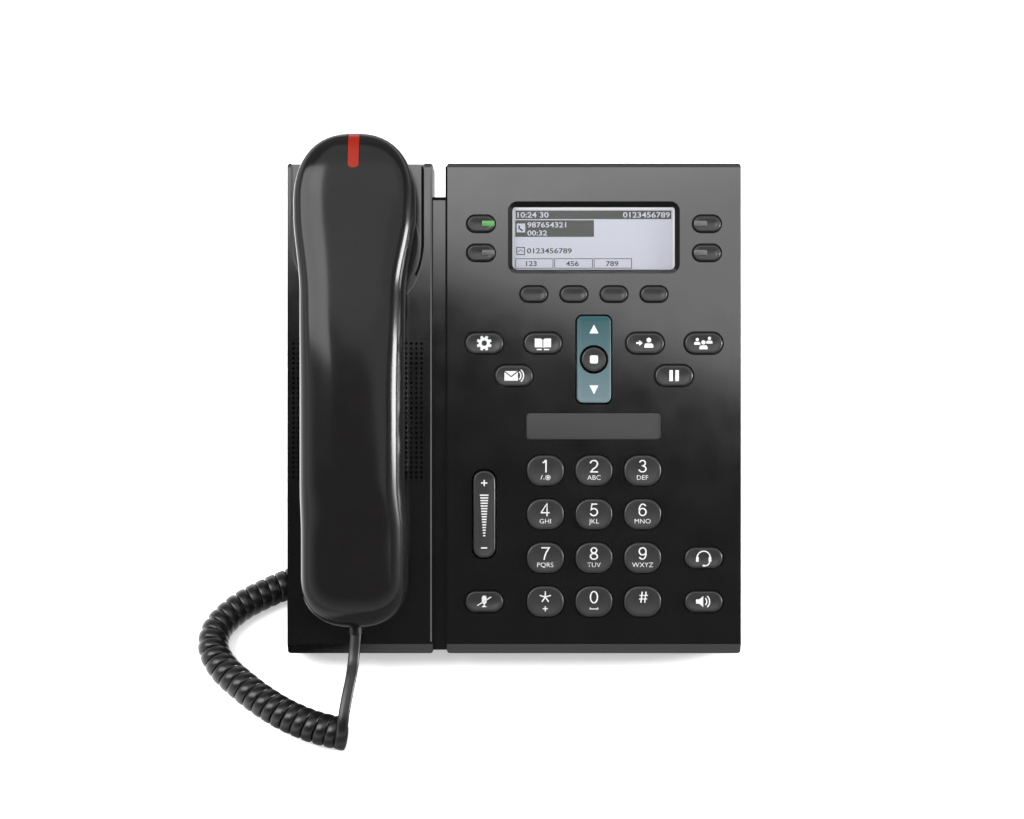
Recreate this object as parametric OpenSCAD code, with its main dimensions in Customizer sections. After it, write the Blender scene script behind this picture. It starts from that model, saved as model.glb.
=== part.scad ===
// Desk telephone with a corded handset, leaning on its fold-out stand.
// The shapes are laid out on the flat body (x right, y up the face, z out of the
// face) and module leaned() then tips the whole body back onto its stand.
// The desk is the plane z = 0 and the origin is the middle of the front foot strip.

/* [Body] */
// Width of the cradle side that carries the handset
cradle_w = 61; // [58:0.5:70]
// Width of the low strip between the cradle side and the key panel
bridge_w = 5.9; // [4:0.1:12]
// Width of the key panel
panel_w = 123.4; // [120:0.2:140]
// Height of the body, measured up the sloping face
body_h = 206; // [202:1:220]
// Thickness of the body, back to face
body_t = 28; // [26:0.5:36]
// Depth of the front covers, from the face to the seam with the rear housing
cover_t = 8; // [7.5:0.25:10]
// Wall thickness of the housings
wall = 2.4; // [2:0.1:3]
// Thickness of the front face
skin = 2.5; // [2.2:0.1:3.2]
// How far the low strip sits below the face
bridge_drop = 3; // [1:0.25:5]
// How far the low strip stops short of the top edge
bridge_top_gap = 14.2; // [8:0.2:24]
// How far the low strip stops short of the bottom edge
bridge_bottom_gap = 1.7; // [0.8:0.1:4]
// Length of the slope along the bottom edge of the face
bevel_len = 4.2; // [3:0.1:6]
// Depth of the slope along the bottom edge of the face
bevel_drop = 3.4; // [1:0.1:4.5]
// Chamfer along the top edge of the face
top_chamfer = 1.8; // [0.5:0.1:3]
// Radius of the upright corners of the body
corner_r = 1.2; // [0.6:0.1:2]

/* [Lean and stand] */
// Lean of the face, up from the desk
tilt = 40; // [34:1:44]
// Height of the stand's hinge up the back
hinge_up = 130; // [122:1:140]
// Distance of the hinge's axis behind the back
hinge_out = 6; // [5.8:0.1:8]
// Length of the stand, hinge axis to foot
leg_len = 100; // [96:1:112]
// Width of the stand
leg_w = 104; // [80:1:108]
// Thickness of the stand's plate
leg_t = 5; // [4:0.25:6]
// Radius of the hinge pin
pin_r = 2; // [1.5:0.1:2.4]
// Height of the rubber strip under the front edge
foot_h = 3; // [2.6:0.1:4]
// Length of the rubber strip under the front edge
foot_w = 150; // [100:1:176]
// Radius of the rubber pads under the stand
pad_r = 3.2; // [2.5:0.1:3.5]

/* [Keys] */
// Travel of a key
key_travel = 1.2; // [0.8:0.1:1.6]
// How far the key tops stand out of the face
key_rise = 1.2; // [0.8:0.1:2]
// Gap round the dial keys
dial_gap = 0.4; // [0.3:0.05:0.6]
// Gap round the other keys
key_gap = 0.7; // [0.5:0.05:0.8]
// Width of a dial key
dial_w = 15.5; // [13:0.1:17]
// Height of a dial key
dial_h = 12.8; // [11:0.1:14]
// Distance between the dial keys' columns
dial_step_x = 20.4; // [19.5:0.1:22]
// Distance between the dial keys' rows
dial_step_y = 18.3; // [17:0.1:19]
// Width of a soft key
soft_w = 11; // [9:0.1:12]
// Height of a soft key
soft_h = 6.2; // [5:0.1:7]
// Distance between the soft keys
soft_step = 16.8; // [15.5:0.1:17.5]
// Width of a line key
line_w = 11.4; // [9:0.1:12]
// Height of a line key
line_h = 6.6; // [5.5:0.1:7.5]
// Width of a feature key
feature_w = 15.7; // [14:0.1:17]
// Height of a feature key
feature_h = 8.6; // [7.5:0.1:9.4]
// Width of the navigation rocker
nav_w = 14.2; // [13.6:0.1:16]
// Height of the navigation rocker
nav_h = 36.4; // [34:0.2:38]
// Radius of the select button
select_r = 5.15; // [4.5:0.05:5.4]
// Width of the volume rocker
volume_w = 9.2; // [8.4:0.1:10]
// Height of the volume rocker
volume_h = 36.4; // [30:0.2:40]

/* [Display] */
// Width of the display's opening, at the face
display_w = 72.1; // [68:0.1:74]
// Height of the display's opening, at the face
display_h = 30.3; // [27:0.1:31]
// Slope round the display's opening
display_slope = 1.9; // [1:0.1:2.2]
// Width of the label window
label_w = 57; // [40:0.5:64]
// Height of the label window
label_h = 11.3; // [9:0.1:13]

/* [Handset] */
// Length of the handset
handset_len = 203.5; // [200:0.5:208]
// How far the handset reaches past the body's top edge
handset_over = 10.3; // [8:0.1:12]
// Width of the handset at the ear end
ear_w = 50.4; // [48:0.2:52]
// Width of the handset's grip
grip_w = 43.4; // [40:0.2:46]
// Height of the handset's back above the face
handset_rise = 33; // [31:0.5:38]
// Height of the shells' seam above the face
seam_rise = 17; // [16:0.25:19]
// Clear height under the grip, for the fingers
finger_gap = 12; // [10.5:0.25:13]
// Wall thickness of the handset's shells
shell_wall = 2; // [1.6:0.1:2.4]
// Radius of the ear cap
ear_cap_r = 25.5; // [24:0.1:26]
// Radius of the mouth cap
mouth_cap_r = 21; // [19:0.1:21.5]
// Depth of the cradle's pockets
pocket_d = 5; // [4:0.25:5.5]
// How far the handset lifts off
lift = 60; // [40:1:80]
// Travel of the hook switch
hook_travel = 3.5; // [2.5:0.1:4]

/* [Speaker] */
// Columns of holes in the speaker's grille
grille_columns = 26; // [20:1:26]
// Rows of holes in the speaker's grille
grille_rows = 28; // [20:1:28]
// Distance between the grille's columns
grille_step_x = 2.15; // [1.9:0.05:2.2]
// Distance between the grille's rows
grille_step_y = 2.08; // [1.8:0.02:2.1]
// Radius of a hole in the grille
grille_hole_r = 0.55; // [0.4:0.05:0.7]

/* [Cord] */
// Outer diameter of the cord's coil
coil_d = 14; // [12:0.5:14]
// Width of the flat cord
cord_w = 4.7; // [4:0.1:5]

/* [Hidden] */
$fn = 48;
slack = 0.2;          // gap between a moving piece and what guides it
tight = 0.05;         // gap round a piece that is fixed in its seat
run_fit = 0.05;       // radial clearance of the hinge pin
over = 1;             // how far a cutter reaches past a face

body_w = cradle_w + bridge_w + panel_w;
left = -body_w / 2;
cradle_right = left + cradle_w;
panel_left = body_w / 2 - panel_w;
seam_z = body_t - cover_t;
under_face = body_t - skin;

// Columns and rows of the key panel
panel_x = panel_left + panel_w / 2;
outer_dx = 46;        // outer feature keys, volume, mute, headset, speaker
inner_dx = 21.4;      // inner feature keys
middle_dx = 33.6;     // second row of feature keys
line_dx = 47.4;       // line keys
line_step = 12.2;     // between the two line keys of a side
feature_step = 13.6;  // between the two rows of feature keys

// The middle column, from the top edge down: display, soft keys, navigation rocker, label and
// four rows of dial keys. The free heights between them share out what the body has to spare.
free_heights = [16.05, 5.55, 6.1, 4.15, 6.55, 15.7];
taken_height = display_h + soft_h + nav_h + label_h + 3 * dial_step_y + dial_h;
spread = (body_h - taken_height) / total(free_heights);
display_y = body_h - spread * free_heights[0] - display_h / 2;
soft_y = display_y - display_h / 2 - spread * free_heights[1] - soft_h / 2;
nav_y = soft_y - soft_h / 2 - spread * free_heights[2] - nav_h / 2;
label_y = nav_y - nav_h / 2 - spread * free_heights[3] - label_h / 2;
dial_y = label_y - label_h / 2 - spread * free_heights[4] - dial_h / 2;
bottom_row_y = dial_y - 3 * dial_step_y;
line_y = display_y + line_step / 2 - 0.4;
feature_y = nav_y + feature_step / 2;
volume_y = dial_y - dial_step_y;

// Inside the body
board_z = body_t - 16;
board_t = 1.6;
mat_t = 1.4;
mat_z = board_z + board_t;
post_z = mat_z + mat_t + key_travel + slack;
flange = 1.2;         // width and thickness of the rim that holds a key in
flange_z = under_face - slack - flange;
rocker_z = under_face - 1.4;
rocker_rise = key_rise + 0.3;
rocker_tab = 4;

// Cradle
handset_x = left + cradle_w / 2 - 1.1;
ear_y = body_h - 33;
mouth_y = body_h + handset_over - handset_len + 23;
pocket_z = body_t - pocket_d;
pocket_floor = 2;
ear_pocket_r = ear_cap_r + 2.5;
mouth_pocket_r = mouth_cap_r + 1.2;
hook_y = ear_y - 20;
hook_r = 3.5;
grille_low = 1.55;    // how far the grille sits below the middle between pocket and hook
grille_y = (mouth_y + mouth_pocket_r + hook_y - hook_r) / 2 - grille_low;
grille_w = grille_columns * grille_step_x + 1.4;
grille_h = grille_rows * grille_step_y + 1.4;
speaker_r = 21;
speaker_t = 4;
magnet_r = 11.5;

// Handset: stations along its length, measured from its mouth end
handset_y = body_h + handset_over - handset_len;
mouth_round = 20;
ear_round = 30;
round_power = 2.4;
ear_flare = [66, 34];     // where the grip starts to widen, from the ear end, and over what
mouth_flare = [58, 20];   // the same towards the mouth end
ear_bend = [78, 18];      // where the underside starts down to the ear cap, and over what
mouth_bend = [66, 16];    // the same towards the mouth cap
seam_rise_z = body_t + seam_rise;
grip_under_z = body_t + finger_gap;
end_under_z = body_t + 2;
cap_top_z = end_under_z + 1;
receiver_r = 17;
microphone_r = 5;
crown = 1.6;
mouth_steps = [0.3, 1.2, 3, 6, 10, 15];
ear_steps = [30, 22, 15, 10, 6, 3, 1.2, 0.3];
grip_stations = 16;
stations = concat(
    mouth_steps,
    [for (i = [0 : grip_stations])
        mouth_round + i * (handset_len - mouth_round - ear_round - 5) / grip_stations],
    [for (d = ear_steps) handset_len - d]
);
ring_steps = 16;
lamp_w = 4.6;
lamp_len = 14;
plug_w = 7.7;
plug_h = 5.6;
plug_z = body_t + 10;
plug_in = 10;
boot_r = 2.8;
boot_len = 4;

// Lean: the corner under the face is cut level, and the foot strip stands in the cut
cut_h = 4.4;
foot_seat = 1.2;
lean_y = -cut_h * (1 / tan(tilt) - tan(tilt)) / 2;
lean_z = foot_h - foot_seat - cut_h;
foot_d = cut_h * (1 / tan(tilt) + tan(tilt)) - 1.4;

// Stand, worked out from where its hinge comes to lie
hinge_y = lean_y + hinge_up * cos(tilt) + hinge_out * sin(tilt);
hinge_z = lean_z + hinge_up * sin(tilt) - hinge_out * cos(tilt);
bar_z = 3.6;
leg_angle = asin((hinge_z - bar_z) / leg_len);
bar_d = 9;
bar_h = 4.4;
pad_h = 2.4;
barrel_r = hinge_out - 0.8;
ear_t = 6;            // thickness of each hinge ear

// Sockets on the back, just above the loudspeaker's magnet
audio_x = left + 20;
network_x = body_w / 2 - 19;
jack_step = 15;
audio_socket = [plug_w + 0.3, plug_h + 0.8];
network_socket = [11.9, 8.4];
jack_y = grille_y + magnet_r + 0.6 + audio_block_h() / 2;
block_t = board_z;
jack_depth = block_t - 1;

// Screws
screw_r = 1.5;
head_r = 3;
head_t = 2;
boss_r = 3.6;
screw_len = body_t - head_t - 5;
screw_in = 5.5;
row_screw_y = bottom_row_y + dial_step_y / 2;
panel_screws = [
    [panel_left + screw_in, row_screw_y], [body_w / 2 - screw_in, row_screw_y],
    [panel_left + screw_in, body_h - screw_in], [body_w / 2 - screw_in, body_h - screw_in]
];
grip_screw_y = (mouth_y + mouth_pocket_r + grille_y - grille_h / 2) / 2;
cradle_low_y = 13.5;
cradle_screws = [
    [left + screw_in, grip_screw_y], [cradle_right - screw_in, grip_screw_y],
    [left + screw_in, cradle_low_y]
];

// Route of the cord, on the desk: the coil, then its two straight leads
coil_z = coil_d / 2;
coil_route = [
    [-73, -50], [-82, -47.5], [-90, -44], [-98, -39.5], [-107, -33], [-115, -26], [-122, -19],
    [-127, -11], [-128.5, -4], [-127, 3], [-123, 9], [-117, 15], [-108, 21], [-99, 26],
    [-90, 31], [-82, 38], [-76, 47], [-73, 57], [-71, 68], [-70, 80], [-70, 92], [-70, 104],
    [-70, 116], [-70, 128]
];
handset_lead = [
    [-66, -30, 22.5], [-67.5, -39, 15.5], [-69, -47, 10], [-70.5, -52, 6.5], [-72, -54.5, 4.5]
];
base_lead = [
    [-68, 101, 61.5], [-68.5, 110, 49.5], [-69, 119, 39], [-69.5, 128.5, 30], [-70, 136, 22.5],
    [-70, 138.5, 16], [-70, 136.8, 11.3], [-70, 133, 8.2], [-70, 130.2, 7], [-70, 128, 7]
];
cord_sides = 8;
coil_sides = 12;

// The key table: name, offset from the panel's middle, height, size
dial_size = [dial_w, dial_h, 5.6, dial_gap];
soft_size = [soft_w, soft_h, soft_h / 2 - tight, key_gap];
line_size = [line_w, line_h, line_h / 2 - tight, key_gap];
feature_size = [feature_w, feature_h, feature_h / 2 - tight, key_gap];
dial_marks = ["1", "2", "3", "4", "5", "6", "7", "8", "9", "star", "0", "hash"];
KEYS = concat(
    [for (i = [0 : 11])
        [str("dial_key_", dial_marks[i]), (i % 3 - 1) * dial_step_x,
            dial_y - floor(i / 3) * dial_step_y, dial_size]],
    [for (i = [0 : 3]) [str("soft_key_", i + 1), (i - 1.5) * soft_step, soft_y, soft_size]],
    [for (i = [0 : 3])
        [str("line_key_", i + 1), (i < 2 ? -1 : 1) * line_dx, line_y - (i % 2) * line_step,
            line_size]],
    [
        ["settings_key", -outer_dx, feature_y, feature_size],
        ["contacts_key", -inner_dx, feature_y, feature_size],
        ["transfer_key", inner_dx, feature_y, feature_size],
        ["conference_key", outer_dx, feature_y, feature_size],
        ["messages_key", -middle_dx, feature_y - feature_step, feature_size],
        ["hold_key", middle_dx, feature_y - feature_step, feature_size],
        ["mute_key", -outer_dx, bottom_row_y, feature_size],
        ["headset_key", outer_dx, bottom_row_y + dial_step_y, feature_size],
        ["speaker_key", outer_dx, bottom_row_y, feature_size]
    ]
);

// ---- Shared shapes ----

module leaned() {
    translate([0, lean_y, lean_z])
        rotate([tilt, 0, 0])
            children();
}

module rounded(w, h, r) {
    square([w - 2 * r, h], center = true);
    square([w, h - 2 * r], center = true);
    for (x = [-1, 1], y = [-1, 1])
        translate([x * (w / 2 - r), y * (h / 2 - r)])
            circle(r);
}

module slab(w, h, r, z0, z1) {
    translate([0, 0, z0])
        linear_extrude(z1 - z0)
            rounded(w, h, r);
}

module disc(r, z0, z1) {
    translate([0, 0, z0])
        cylinder(r = r, h = z1 - z0);
}

module side_profile(w, points) {
    rotate([90, 0, 90])
        linear_extrude(w)
            polygon(points);
}

function total(v, from = 0) = from == len(v) ? 0 : v[from] + total(v, from + 1);
function unit(v) = v / norm(v);
function smooth(t) = let (u = max(0, min(1, t))) u * u * (3 - 2 * u);
function heading(path, i) =
    unit(path[min(i + 1, len(path) - 1)] - path[max(i - 1, 0)]);

// A round tube along a path; sideways is a direction that the path never takes
module tube(path, d, sides, sideways) {
    n = len(path);
    points = [
        for (i = [0 : n - 1])
            let (ahead = heading(path, i), s = unit(cross(ahead, sideways)), u = cross(ahead, s))
                for (k = [0 : sides - 1])
                    path[i] + d / 2 * (cos(360 * k / sides) * s + sin(360 * k / sides) * u)
    ];
    sides_of_tube = [
        for (i = [0 : n - 2], k = [0 : sides - 1])
            let (a = i * sides + k, b = i * sides + (k + 1) % sides)
                each [[a, a + sides, b + sides], [a, b + sides, b]]
    ];
    start = [for (k = [0 : sides - 1]) k];
    end = [for (k = [sides - 1 : -1 : 0]) (n - 1) * sides + k];
    polyhedron(points, concat([start, end], sides_of_tube));
}

// ---- Covers ----

// The shell of one front cover, from x = 0 to w, open towards the back
module cover_shell(w) {
    difference() {
        intersection() {
            side_profile(w, [
                [0, seam_z], [0, body_t - bevel_drop], [bevel_len, body_t],
                [body_h - top_chamfer, body_t], [body_h, body_t - top_chamfer],
                [body_h, seam_z]
            ]);
            translate([w / 2, body_h / 2, 0])
                slab(w, body_h, corner_r, seam_z, body_t);
        }
        translate([wall, bevel_len, seam_z - over])
            cube([w - 2 * wall, body_h - bevel_len - wall, cover_t - skin + over]);
    }
}

module cover_bosses(places, top) {
    for (p = places)
        translate([p[0], p[1], 0])
            disc(boss_r, seam_z, top);
}

module screw_pilots(places) {
    for (p = places)
        translate([p[0], p[1], 0])
            disc(screw_r + tight, seam_z - over, head_t + screw_len + 0.5);
}

module display_cut() {
    translate([panel_x, display_y, 0])
        hull() {
            slab(display_w, display_h, 4, body_t, body_t + 0.1);
            slab(display_w - 2 * display_slope, display_h - 2 * display_slope, 2.2,
                under_face - 0.1, under_face);
        }
}

module front_housing() {
    color([0.17, 0.17, 0.18]) leaned() difference() {
        union() {
            translate([panel_left, 0, 0])
                cover_shell(panel_w);
            cover_bosses(panel_screws, under_face + 0.5);
        }
        for (key = KEYS)
            translate([panel_x + key[1], key[2], 0])
                slab(key[3][0] + 2 * key[3][3], key[3][1] + 2 * key[3][3],
                    key[3][2] + key[3][3], seam_z, body_t + over);
        display_cut();
        translate([panel_x, nav_y, 0])
            slab(nav_w + 2 * key_gap, nav_h + 2 * key_gap, 3, seam_z, body_t + over);
        translate([panel_x - outer_dx, volume_y, 0])
            slab(volume_w + 2 * key_gap, volume_h + 2 * key_gap, volume_w / 2, seam_z,
                body_t + over);
        translate([panel_x, label_y, 0])
            slab(label_w, label_h, 1.7, body_t - 1.6, body_t + over);
        screw_pilots(panel_screws);
    }
}

module cradle_cover() {
    color([0.16, 0.16, 0.17]) leaned() difference() {
        union() {
            translate([left, 0, 0])
                cover_shell(cradle_w);
            cover_bosses(cradle_screws, under_face + 0.5);
            translate([left + over, ear_y - ear_pocket_r - wall, pocket_z - pocket_floor])
                cube([cradle_w - 2 * over, body_h - ear_y + ear_pocket_r + wall - over,
                    pocket_d + pocket_floor - skin + 0.5]);
            translate([handset_x, mouth_y, 0])
                disc(mouth_pocket_r + 2, pocket_z - pocket_floor, under_face + 0.5);
        }
        translate([handset_x, ear_y, 0])
            disc(ear_pocket_r, pocket_z, body_t + over);
        translate([handset_x - ear_pocket_r, ear_y, pocket_z])
            cube([2 * ear_pocket_r, body_h, pocket_d + over]);
        translate([handset_x, mouth_y, 0])
            disc(mouth_pocket_r, pocket_z, body_t + over);
        translate([handset_x, hook_y, 0])
            disc(hook_r + slack, seam_z - over, body_t);
        translate([handset_x, grille_y, 0])
            slab(grille_w, grille_h, 1, seam_z, body_t + over);
        screw_pilots(cradle_screws);
    }
}

module speaker_grille() {
    color([0.15, 0.15, 0.16]) leaned()
        translate([handset_x, grille_y, under_face])
            linear_extrude(skin)
                difference() {
                    square([grille_w - 2 * tight, grille_h - 2 * tight], center = true);
                    for (i = [0 : grille_columns - 1], k = [0 : grille_rows - 1])
                        translate([
                            (i - (grille_columns - 1) / 2) * grille_step_x,
                            (k - (grille_rows - 1) / 2) * grille_step_y
                        ])
                            circle(grille_hole_r, $fn = 16);
                }
}

// The outline of the whole body: both sides and the low strip between them
module body_outline(inset) {
    translate([left + cradle_w / 2, body_h / 2])
        rounded(cradle_w - 2 * inset, body_h - 2 * inset, corner_r);
    translate([panel_x, body_h / 2])
        rounded(panel_w - 2 * inset, body_h - 2 * inset, corner_r);
    translate([cradle_right - inset - over, bridge_bottom_gap + inset])
        square([bridge_w + 2 * inset + 2 * over,
            body_h - bridge_bottom_gap - bridge_top_gap - 2 * inset]);
}

module rear_housing() {
    bridge_h = body_h - bridge_bottom_gap - bridge_top_gap;
    color([0.13, 0.13, 0.14]) leaned() difference() {
        union() {
            difference() {
                linear_extrude(seam_z)
                    body_outline(0);
                translate([0, 0, wall])
                    linear_extrude(seam_z)
                        body_outline(wall);
            }
            translate([cradle_right + slack / 4, bridge_bottom_gap, seam_z - wall])
                cube([bridge_w - slack / 2, bridge_h, cover_t - bridge_drop + wall]);
            for (p = concat(panel_screws, cradle_screws))
                translate([p[0], p[1], 0])
                    disc(boss_r + 1, 0.5, seam_z);
            for (x = [-1, 1])
                translate([x * (leg_w + ear_t + 2 * slack) / 2, hinge_up, 0])
                    hinge_ear();
            translate([left + wall / 2, wall, wall / 2])
                cube([body_w - wall, cut_h / sin(tilt), cut_h + wall]);
        }
        // level cut under the bottom edge, and the groove for the foot strip
        rotate([-tilt, 0, 0])
            translate([left - over, -body_t, cut_h - body_t])
                cube([body_w + 2 * over, 3 * body_t, body_t]);
        rotate([-tilt, 0, 0])
            translate([-foot_w / 2 - tight, -lean_y - foot_d / 2 - tight, cut_h - over])
                cube([foot_w + 2 * tight, foot_d + 2 * tight, foot_seat + over]);
        for (p = concat(panel_screws, cradle_screws))
            translate([p[0], p[1], 0]) {
                disc(head_r + slack, -over, head_t + 0.5);
                disc(screw_r + slack / 2, -over, seam_z + over);
            }
        translate([audio_x, jack_y, -over])
            slab(audio_block_w() + 2 * tight, audio_block_h() + 2 * tight, 0.6, 0,
                wall + 2 * over);
        translate([network_x, jack_y, -over])
            slab(network_block_w() + 2 * tight, network_block_h() + 2 * tight, 0.6, 0,
                wall + 2 * over);
        translate([0, hinge_up, -hinge_out])
            rotate([0, 90, 0])
                cylinder(r = pin_r + run_fit, h = leg_w + 2 * ear_t + 4 * slack + over,
                    center = true);
    }
}

module hinge_ear() {
    translate([0, 0, -hinge_out])
        rotate([0, 90, 0])
            cylinder(r = barrel_r, h = ear_t, center = true);
    translate([-ear_t / 2, -barrel_r, -hinge_out])
        cube([ear_t, 2 * barrel_r, hinge_out + wall / 2]);
}

module front_foot() {
    color([0.08, 0.08, 0.08])
        translate([-foot_w / 2, -foot_d / 2, 0])
            cube([foot_w, foot_d, foot_h]);
}

// ---- Stand ----

module fold_stand() {
    color([0.14, 0.14, 0.15]) difference() {
        rotate([90, 0, 90])
            linear_extrude(leg_w, center = true)
                stand_profile();
        for (x = [-1, 1])
            translate([x * pad_dx(), foot_bar_y(), 0])
                disc(pad_r + tight, -over, pad_h);
    }
}

// The stand seen from its side: barrel, leg and foot bar, with the bore for the pin
module stand_profile() {
    difference() {
        union() {
            translate([hinge_y, hinge_z])
                rotate(-leg_angle) {
                    circle(barrel_r);
                    translate([0, -leg_t / 2])
                        square([leg_len, leg_t]);
                }
            translate([foot_bar_y(), bar_z])
                square([bar_d, bar_h], center = true);
        }
        translate([hinge_y, hinge_z])
            circle(pin_r + run_fit);
        translate([foot_bar_y() - 2 * bar_d, bar_z - bar_h / 2 - 2 * bar_h])
            square([4 * bar_d, 2 * bar_h]);
    }
}

function foot_bar_y() = hinge_y + leg_len * cos(leg_angle);
function pad_dx() = leg_w / 2 - 3 * pad_r;

module stand_pads() {
    color([0.08, 0.08, 0.08])
        for (x = [-1, 1])
            translate([x * pad_dx(), foot_bar_y(), 0])
                disc(pad_r, 0, pad_h);
}

module stand_hinge_pin() {
    color([0.6, 0.6, 0.62])
        translate([0, hinge_y, hinge_z])
            rotate([0, 90, 0])
                cylinder(r = pin_r, h = leg_w + 2 * ear_t + 2 * slack, center = true);
}

// ---- Display and labels ----

module display_window() {
    color([0.75, 0.8, 0.85, 0.4]) leaned()
        translate([panel_x, display_y, 0])
            slab(display_w, display_h, 3, under_face - 1.2, under_face);
}

module display_module() {
    color([0.65, 0.7, 0.74]) leaned()
        translate([panel_x, display_y, 0])
            slab(display_w - 1, display_h - 1, 1, board_z + board_t + mat_t, under_face - 1.2);
}

module label_window() {
    color([0.3, 0.3, 0.31]) leaned()
        translate([panel_x, label_y, 0])
            slab(label_w - 2 * tight, label_h - 2 * tight, 1.65, body_t - 1.6, body_t - 0.4);
}

// ---- Keys ----

// A key: its cap, the rim that holds it under the face, and the post that presses the mat
module key_cap(size) {
    slab(size[0], size[1], size[2], flange_z, body_t + key_rise);
    slab(size[0] + 2 * size[3] + flange, size[1] + 2 * size[3] + flange, size[2] + size[3],
        flange_z, flange_z + flange);
    disc(1.6, post_z, flange_z + flange);
}

module rocker(w, h, r) {
    slab(w, h, r, rocker_z, body_t + rocker_rise);
    translate([-w / 2 - key_gap - flange, -rocker_tab / 2, rocker_z - slack])
        cube([w + 2 * key_gap + 2 * flange, rocker_tab, 1.3]);
}

module nav_rocker() {
    color([0.35, 0.45, 0.48]) leaned()
        translate([panel_x, nav_y, 0])
            difference() {
                rocker(nav_w, nav_h, 2.5);
                disc(select_r + key_gap + slack, seam_z - over, body_t + 2 * rocker_rise);
            }
}

module select_button() {
    color([0.15, 0.15, 0.16]) leaned()
        translate([panel_x, nav_y, 0]) {
            disc(select_r, rocker_z - 2, body_t + key_rise);
            disc(select_r + key_gap + slack + 0.8, rocker_z - 2, rocker_z - 0.7);
            disc(1.6, post_z, rocker_z - 1);
        }
}

module volume_rocker() {
    color([0.2, 0.2, 0.21]) leaned()
        translate([panel_x - outer_dx, volume_y, 0])
            rocker(volume_w, volume_h, volume_w / 2 - tight);
}

// ---- Inside the body ----

module key_mat() {
    color([0.6, 0.6, 0.58]) leaned()
        translate([panel_x, (soft_y + bottom_row_y) / 2, 0])
            slab(panel_w - 2 * (screw_in + boss_r + 2), soft_y - bottom_row_y + dial_h, 2,
                mat_z, mat_z + mat_t);
}

module main_board() {
    color([0.1, 0.3, 0.18]) leaned() difference() {
        translate([panel_x, body_h / 2, 0])
            slab(panel_w - 2 * wall - 1, body_h - 4 * wall, 1, board_z, board_z + board_t);
        for (p = panel_screws)
            translate([p[0], p[1], 0])
                disc(boss_r + 1.5, board_z - over, board_z + board_t + over);
    }
}

module loudspeaker() {
    color([0.25, 0.25, 0.26]) leaned()
        translate([handset_x, grille_y, 0]) {
            disc(speaker_r, under_face - speaker_t, under_face);
            disc(magnet_r, wall, under_face - speaker_t + 1);
        }
}

module hook_switch() {
    floor_z = pocket_z - pocket_floor;
    color([0.2, 0.2, 0.2]) leaned()
        translate([handset_x, hook_y, 0]) {
            disc(hook_r, floor_z - hook_travel - 2, pocket_z);
            disc(hook_r + 1.5, floor_z - hook_travel - 2, floor_z - hook_travel - slack);
        }
}

function audio_block_w() = 2 * jack_step + 1;
function audio_block_h() = audio_socket[1] + 5;
function network_block_w() = network_socket[0] + 4;
function network_block_h() = 2 * jack_step + 1;

// The handset and headset sockets side by side, and the two network sockets in a stack
module rear_jacks() {
    color([0.12, 0.12, 0.12]) leaned() {
        translate([audio_x, jack_y, 0])
            jack_block(audio_block_w(), audio_block_h(), audio_socket, [jack_step / 2, 0]);
        translate([network_x, jack_y, 0])
            jack_block(network_block_w(), network_block_h(), network_socket, [0, jack_step / 2]);
    }
}

module jack_block(w, h, socket, off_middle) {
    difference() {
        slab(w, h, 0.6, 0, block_t);
        for (side = [-1, 1])
            translate([side * off_middle[0], side * off_middle[1], 0])
                slab(socket[0], socket[1], 0.3, -over, jack_depth);
    }
}

module case_screws() {
    color([0.55, 0.55, 0.57]) leaned()
        for (p = concat(panel_screws, cradle_screws))
            translate([p[0], p[1], 0]) {
                disc(head_r, 0.5, head_t + 0.5);
                disc(screw_r, head_t, head_t + screw_len);
            }
}

// ---- Handset ----

// How much of the full section is left near the two rounded ends
function end_share(s, length_round) =
    s >= length_round ? 1 : pow(1 - pow(1 - s / length_round, round_power), 1 / round_power);
function share(s) = min(end_share(s, mouth_round), end_share(handset_len - s, ear_round));
function ear_side(s) = smooth((s - handset_len + ear_flare[0]) / ear_flare[1]);
function mouth_side(s) = smooth((mouth_flare[0] - s) / mouth_flare[1]);
function half_width(s) =
    share(s) * (grip_w / 2 + ear_side(s) * (ear_w - grip_w) / 2 + 0.4 * mouth_side(s));
function middle_x(s) = handset_x - 0.9 * (1 - ear_side(s)) * (1 - mouth_side(s));
function top_height(s) =
    pow(share(s), 0.85)
    * (handset_rise - seam_rise - crown + crown * sin(180 * s / handset_len));
function under_depth(s) =
    share(s) * (seam_rise_z - grip_under_z
        + (grip_under_z - end_under_z)
        * max(smooth((s - handset_len + ear_bend[0]) / ear_bend[1]),
            smooth((mouth_bend[0] - s) / mouth_bend[1])));

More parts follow.
